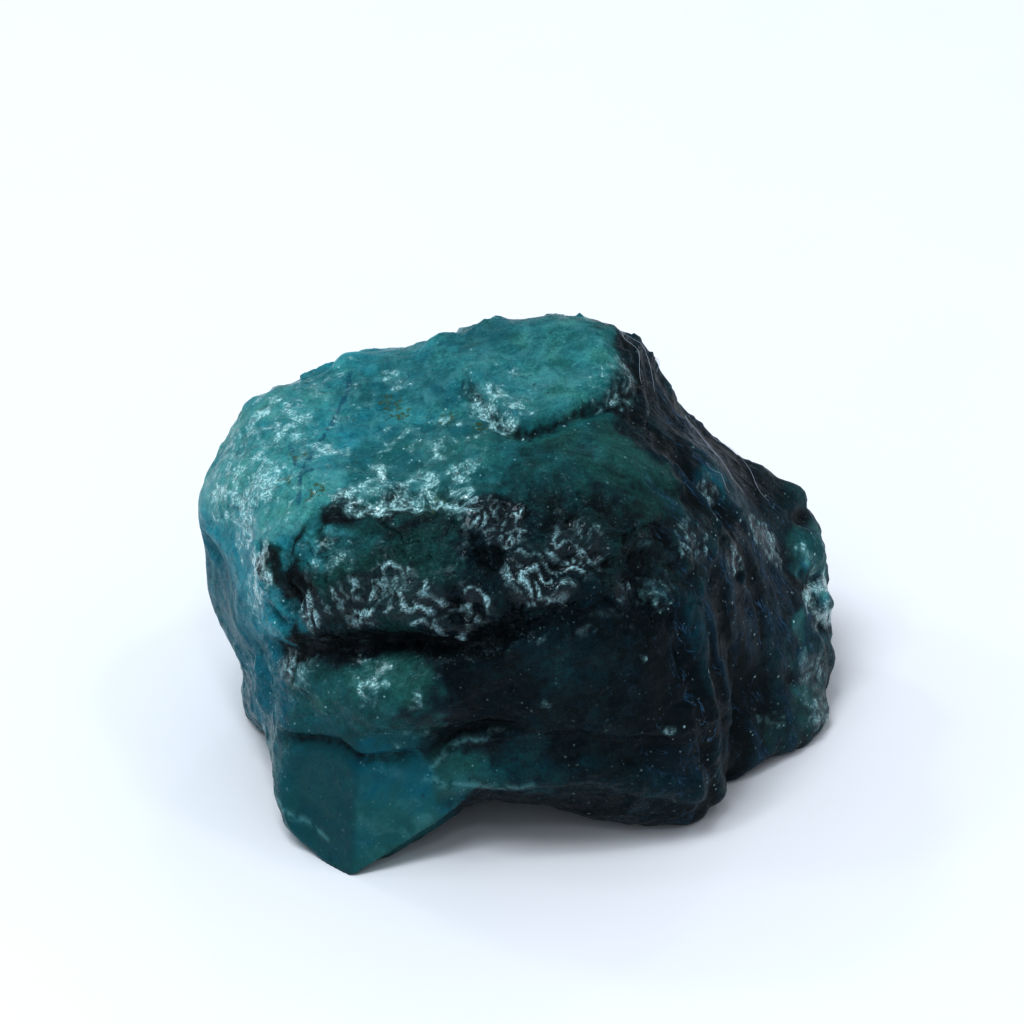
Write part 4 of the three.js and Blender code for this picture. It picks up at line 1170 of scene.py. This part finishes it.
def crust_colour(p, look, colour):
    """The colour with dark specks, painted glint specks, frosted grains that are partly painted glints,
    and curled lips with painted highlights and painted shade between them.
    """
    specks = speck_group()
    glint_specks = placed(specks, p.place, Size=0.4, Warp=0.2, Share=0.15, Radius=0.3)["Mask"]
    fine_glint_specks = placed(specks, turned(p.place, (2, 1, 0)), Size=0.22, Warp=0.1, Share=0.16, Radius=0.4)["Mask"]
    dark = placed(specks, turned(p.place, (1, 2, 0)), Size=0.45, Warp=0.3, Share=0.14, Radius=0.35)["Mask"]
    colour = blend(0.7 * dark, colour, look.dark)
    # pale haze round the frost, partly painted sheen
    colour = blend(0.36 * p.haze, colour, look.haze)
    # frosted grains, partly painted glints
    colour = blend(0.85 * p.frost_glinting, colour, look.frost_and_glint)
    seen = p.tone.ramp(0.3, 0.7, 0.3, 0.9).most(0.8 * p.draped) * p.calm.ramp(0.3, 1.0, 1.0, 0.3)
    # painted glints: bright specks, most on pale places and the draped sides
    colour = blend(glint_specks.most(0.6 * fine_glint_specks) * seen, colour, look.frost_and_glint)
    # painted shade in the gaps between the curled lips
    colour = blend(0.6 * p.wet * (1 - p.curl_glint), colour, look.dark)
    # painted highlights on the curled lips
    return blend(0.9 * p.curl_glint, colour, look.lip)


def gloss(p):
    """The roughness, and how much clear wet-looking skin lies over the broken places."""
    rough = noise(p.place, 0.9, 3.0).ramp(0.3, 0.7, 0.12, 0.28)
    rough = rough + 0.14 * p.calm + 0.3 * p.crack + 0.22 * p.draped - 0.06 * p.haze.most(p.wet)
    wet = p.wet * (0.5 + 0.5 * p.curl_glint)
    return rough, 0.8 * p.haze.most(wet).most(0.05 * p.draped)


def bump_height(p):
    """The bump in millimetres: grain, rubble and waves in the frost, curled lips, crystal facets in
    two sizes and hanging fibres."""
    grain, facets = grain_group(), facet_group()
    fine = placed(grain, p.place, Size=0.16, Rise=0.014)["Height"]
    medium = placed(grain, p.place, Size=0.6, Rise=0.09)["Height"]
    rubble = noise(p.place, 4.0, 3.0, 0.5) - 0.5
    waves = noise(p.place, 1.7, 1.5, 0.8) - 0.5
    height = (fine + medium) * (1 - 0.75 * p.calm)
    height = height + 0.08 * rubble * p.haze + 0.06 * p.curl_glint + 0.4 * waves * p.haze.most(p.wet)
    broken_up = p.band.most(p.wet).most(p.haze).most(0.25)
    for size, steepness in FACETS:
        height = height + steepness * placed(facets, p.place, Size=size)["Height"] * broken_up
    return height + 0.12 * p.hanging["Height"] * p.draped


def beryl_material(look):
    """Dark teal beryl with a pale blue side, painted by the stone's own masks, painted light and shade among
    them.
    """
    material = bpy.data.materials.new("Beryl")
    tree, shader = principled(material)
    p = beryl_patterns(tree)
    rough, skin = gloss(p)
    bump = add_node(tree, "ShaderNodeBump", {"Height": bump_height(p), "Strength": 1.0, "Distance": MM})
    feed(shader, {
        "Base Color": crust_colour(p, look, body_colour(p, look)),
        "Roughness": rough,
        "IOR": 1.57,
        "Specular IOR Level": 0.1,
        "Specular Tint": (0.6, 0.9, 1.0, 1),
        "Coat Weight": skin,
        "Coat Roughness": 0.06,
        "Coat IOR": 1.5,
        "Normal": Link(tree, bump.outputs["Normal"]),
    })
    return material


def plain_material(name, size, low, high, roughness, specular):
    """A material whose colour wanders a little between two, by grain of a given size."""
    material = bpy.data.materials.new(name)
    tree, shader = principled(material)
    value = placed(grain_group(), millimetres(tree), Size=size)["Value"]
    feed(shader, {
        "Base Color": blend(value, low, high), "Roughness": roughness, "Specular IOR Level": specular,
    })
    return material


# ---- Lint ----

def tube(path, radius, sides):
    """A round tube along a path: a grid of angle and step, each ring square to the path.

    The rings' frame comes from the path's direction and the outward direction from the heart.
    Both ends are drawn nearly to a point.
    """
    run = np.gradient(path, axis=0)
    run /= np.linalg.norm(run, axis=1, keepdims=True)
    out = path + PLAN_CENTRE - HEART
    side = np.cross(run, out)
    side /= np.linalg.norm(side, axis=1, keepdims=True)
    up = np.cross(side, run)
    steps = len(path)
    taper = np.ones(steps)
    taper[[0, -1]] = LINT_TIP
    angle = np.linspace(0, 2 * np.pi, sides, endpoint=False)
    ring = np.cos(angle)[None, :, None] * side[:, None] + np.sin(angle)[None, :, None] * up[:, None]
    points = (path[:, None] + radius * taper[:, None, None] * ring).reshape(-1, 3)
    i = np.arange(steps - 1)[:, None] * sides
    j = np.arange(sides)[None]
    k = (j + 1) % sides
    quads = np.stack([i + j, i + k, i + sides + k, i + sides + j], axis=-1).reshape(-1, 4)
    return points, quads


def lint_path(start, end, lift, sway, seed):
    """Points that run over the stone between two places, a little above it, swaying sideways."""
    a, b = directions_of([start, end])
    t = np.linspace(0, 1, LINT_STEPS)[:, None]
    line = a * (1 - t) + b * t
    across = np.cross(a, b)
    across /= np.linalg.norm(across)
    rng = np.random.default_rng(seed)
    waves = sum(
        rng.normal() * np.sin(np.pi * n * t + rng.uniform(0, 2 * np.pi)) / n
        for n in range(1, LINT_WAVES + 1)
    )
    line = line + across * waves * sway / SPREAD
    line /= np.linalg.norm(line, axis=1, keepdims=True)
    surface, _ = stone_surface(line)
    smoothed = surface.copy()
    for _ in range(LINT_SMOOTHINGS):
        smoothed[1:-1] = (smoothed[:-2] + smoothed[1:-1] * 2 + smoothed[2:]) / 4
    bow = lift * (0.4 + np.sin(np.pi * t) ** 2)
    return smoothed + line * (np.maximum(bow, LINT_LEAST_BOW) + LINT_GAP)


def finish_piece(piece):
    """Says which body the piece moves with."""
    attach(piece, "root")


# ---- Settings ----

class StoneSettings(bpy.types.PropertyGroup):
    """How finely the stone is made."""

    rows: bpy.props.IntProperty(
        name="Grid rows", description="Quads along each side of the six grids", default=128, min=8, max=128,
    )
    fine: bpy.props.FloatProperty(
        name="Fine relief", description="Strength of the relief finer than the CAD model's",
        default=1.0, min=0.0, max=2.0, subtype="FACTOR",
    )
    draw: bpy.props.FloatProperty(
        name="Draw to front", description="How much the grid is drawn together at the front and top",
        default=0.3, min=0.0, max=0.6, subtype="FACTOR",
    )
    hairs: bpy.props.IntProperty(
        name="Hairs", description="How many lint hairs cling to the right crest", default=8, min=0, max=200,
    )
    hair_radius: bpy.props.FloatProperty(
        name="Hair radius", description="Radius of a lint hair", default=0.009 * MM, min=0.0,
        unit="LENGTH", precision=6,
    )


def colour_property(name, description, default):
    """A colour setting, linear."""
    return bpy.props.FloatVectorProperty(
        name=name, description=description, default=default, min=0.0, max=1.0, size=3, subtype="COLOR",
    )


class LookSettings(bpy.types.PropertyGroup):
    """Colours of the stone and its stage."""

    # Also the colour of the painted shade in grooves and hollows
    darkest: colour_property("Darkest", "Near black of cracks and hollows", (0.0085, 0.0105, 0.0140))
    dark: colour_property("Dark", "Dark blue green of the front", (0.016, 0.030, 0.041))
    deep: colour_property("Deep", "Deep teal of the foot", (0.019, 0.072, 0.084))
    middle: colour_property("Middle", "Teal of the top", (0.036, 0.168, 0.192))
    palest: colour_property("Palest", "Pale blue teal of the left side", (0.155, 0.410, 0.425))
    green_cast: colour_property("Green cast", "Tint of the greener places", (1.00, 1.00, 0.80))
    blue_cast: colour_property("Blue cast", "Tint of the bluer places", (0.25, 0.86, 1.00))
    vein: colour_property("Vein", "Blue of healed cracks", (0.008, 0.085, 0.140))
    stain: colour_property("Stain", "Olive of stains", (0.070, 0.085, 0.022))
    # Also the colour of the painted sheen round frost, of milky places and of painted edge highlights
    haze: colour_property("Haze", "Pale haze under frosted patches", (0.220, 0.500, 0.520))
    # Frosted grains, partly painted glints; also the colour of the painted glint specks
    frost_and_glint: colour_property("Frost", "White blue of frosted grains", (0.640, 0.900, 0.920))
    # Painted highlight on the curled lips
    lip: colour_property("Lip", "Grey white of curled lips", (0.520, 0.780, 0.830))
    # Painted sheen on the crests of the right side's folds
    satin_sheen: colour_property("Satin", "Blue grey of satin streaks", (0.012, 0.050, 0.094))
    # Painted glints along thin threads
    thread_glint: colour_property("Thread", "Pale blue grey of thin threads", (0.075, 0.180, 0.320))
    lint: colour_property("Lint", "Pale lint", (0.700, 0.730, 0.850))
    floor: colour_property("Floor", "Pale board", (0.965, 0.895, 0.925))


class StudioSettings(bpy.types.PropertyGroup):
    """Camera and light."""

    elevation: bpy.props.FloatProperty(
        name="Camera elevation", description="How far the camera looks down", default=math.radians(35),
        subtype="ANGLE", unit="ROTATION",
    )
    distance: bpy.props.FloatProperty(
        name="Camera distance", description="From the camera to its target", default=0.26,
        subtype="DISTANCE", unit="LENGTH",
    )
    lens: bpy.props.FloatProperty(
        name="Lens", description="Focal length in millimetres", default=191.95, min=1.0, max=400.0,
    )
    target: bpy.props.FloatVectorProperty(
        name="Camera target", description="Point the camera looks at", default=(-0.00045, -0.0003, 0.0136),
        subtype="XYZ", unit="LENGTH",
    )
    key: bpy.props.FloatProperty(
        name="Panels", description="Power of the small panels together", default=1.0, min=0.0,
        unit="POWER",
    )
    top: bpy.props.FloatProperty(
        name="Softbox", description="Power of the wide softbox overhead", default=1.8, min=0.0, unit="POWER",
    )
    sky: bpy.props.FloatProperty(
        name="Room light", description="Strength of the even light all round", default=0.58, min=0.0,
    )
    gamma: bpy.props.FloatProperty(
        name="Picture gamma", description="Below 1 deepens the picture's darks", default=0.76,
        min=0.1, max=5.0,
    )


# ---- Operators ----

class AQUAMARINE_OT_stone(bpy.types.Operator):
    """Make the stone's fine surface in place of the plain solid"""

    bl_idname = "aquamarine.stone"
    bl_label = "Make the stone"

    def execute(self, context):
        settings = context.scene.aquamarine_stone
        look = context.scene.aquamarine_look
        directions, quads = ball_grid(settings.rows, settings.draw * DRAW_TOWARDS)
        surface, masks = stone_surface(directions, settings.fine)
        radius = np.linalg.norm(surface + PLAN_CENTRE - HEART, axis=1)
        masks["tone"], masks["blue"] = shade_masks(directions, surface, masks["facet"])
        masks.update(finish_masks(directions, surface, radius))
        kept = {name: masks[name] for name in FINISH_MASKS}
        stone = add_mesh("stone_surface", surface, quads, beryl_material(look), kept)
        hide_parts(NODE)
        finish_piece(stone)
        return {"FINISHED"}


class AQUAMARINE_OT_lint(bpy.types.Operator):
    """Lay fine hairs of lint over the right crest"""

    bl_idname = "aquamarine.lint"
    bl_label = "Lay the lint"

    def execute(self, context):
        settings = context.scene.aquamarine_stone
        rng = np.random.default_rng(LINT_SEED)
        points, faces, count = [], [], 0
        for hair in range(settings.hairs):
            start = LINT_STARTS[rng.integers(len(LINT_STARTS))] + rng.normal(0, LINT_START_SPREAD)
            end = start + LINT_RUN * rng.uniform(*LINT_RUN_SHARES) + rng.normal(0, LINT_END_SPREAD)
            path = lint_path(start, end, rng.uniform(*LINT_LIFT), rng.uniform(*LINT_SWAY), hair)
            ring, quads = tube(path, settings.hair_radius / MM, LINT_ACROSS)
            points.append(ring)
            faces.append(quads + count)
            count += len(ring)
        pale = np.array(context.scene.aquamarine_look.lint)
        material = plain_material("Lint", 1.5, 0.5 * pale, pale, 0.7, 0.3)
        lint = add_mesh("lint", np.concatenate(points), np.concatenate(faces), material)
        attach(lint, "root")
        return {"FINISHED"}


def add_light(name, at, target, power, size):
    """A square area light that looks at its target."""
    data = bpy.data.lights.new(name, "AREA")
    data.energy = power
    data.size = size
    data.color = LAMP_COLOUR
    light = bpy.data.objects.new(name, data)
    light.location = at
    light.rotation_mode = "QUATERNION"
    light.rotation_quaternion = (Vector(target) - Vector(at)).to_track_quat("-Z", "Y")
    bpy.context.scene.collection.objects.link(light)


class AQUAMARINE_OT_stage(bpy.types.Operator):
    """Set the floor, the soft light and the camera"""

    bl_idname = "aquamarine.stage"
    bl_label = "Set the stage"

    def execute(self, context):
        studio = context.scene.aquamarine_studio
        look = context.scene.aquamarine_look
        square = np.array([[-1, -1, 0], [1, -1, 0], [1, 1, 0], [-1, 1, 0]]) * FLOOR_HALF / MM
        board = np.array(look.floor)
        material = plain_material("Pale board", 9.0, 0.98 * board, board, 0.8, 0.2)
        floor = add_mesh("floor", square, np.array([[0, 1, 2, 3]]), material)
        target = Vector(studio.target)
        for number, (share, *at) in enumerate(PANELS):
            add_light(f"panel {number}", at, target, share * studio.key, PANEL_SIZE)
        add_light("softbox", SOFTBOX_PLACE, target, studio.top, SOFTBOX_SIZE)

        world = bpy.data.worlds.new("Room")
        world.use_nodes = True
        background = world.node_tree.nodes["Background"]
        background.inputs["Color"].default_value = ROOM_COLOUR
        background.inputs["Strength"].default_value = studio.sky
        context.scene.world = world
        context.scene.view_settings.view_transform = "Standard"
        context.scene.view_settings.gamma = studio.gamma

        data = bpy.data.cameras.new("camera")
        data.lens = studio.lens
        data.sensor_width = SENSOR_WIDTH
        data.clip_start = CLIP_START
        camera = bpy.data.objects.new("camera", data)
        back = Vector((0, -math.cos(studio.elevation), math.sin(studio.elevation)))
        camera.location = target + back * studio.distance
        camera.rotation_mode = "QUATERNION"
        camera.rotation_quaternion = (-back).to_track_quat("-Z", "Y")
        context.scene.collection.objects.link(camera)
        context.scene.camera = camera
        return {"FINISHED"}


class AQUAMARINE_PT_sidebar(bpy.types.Panel):
    """The stone's settings and steps"""

    bl_label = "Raw aquamarine"
    bl_idname = "AQUAMARINE_PT_sidebar"
    bl_space_type = "VIEW_3D"
    bl_region_type = "UI"
    bl_category = "Aquamarine"

    def draw(self, context):
        for group in (context.scene.aquamarine_stone, context.scene.aquamarine_look,
                      context.scene.aquamarine_studio):
            box = self.layout.box()
            for name in group.__annotations__:
                box.prop(group, name)
        for operator in (AQUAMARINE_OT_stone, AQUAMARINE_OT_lint, AQUAMARINE_OT_stage):
            self.layout.operator(operator.bl_idname)


CLASSES = (
    StoneSettings, LookSettings, StudioSettings,
    AQUAMARINE_OT_stone, AQUAMARINE_OT_lint, AQUAMARINE_OT_stage, AQUAMARINE_PT_sidebar,
)


def register():
    for cls in CLASSES:
        bpy.utils.register_class(cls)
    bpy.types.Scene.aquamarine_stone = bpy.props.PointerProperty(type=StoneSettings)
    bpy.types.Scene.aquamarine_look = bpy.props.PointerProperty(type=LookSettings)
    bpy.types.Scene.aquamarine_studio = bpy.props.PointerProperty(type=StudioSettings)


def unregister():
    del bpy.types.Scene.aquamarine_studio
    del bpy.types.Scene.aquamarine_look
    del bpy.types.Scene.aquamarine_stone
    for cls in reversed(CLASSES):
        bpy.utils.unregister_class(cls)


def main():
    register()
    bpy.ops.aquamarine.stone()
    bpy.ops.aquamarine.lint()
    bpy.ops.aquamarine.stage()


if __name__ == "__main__":
    main()
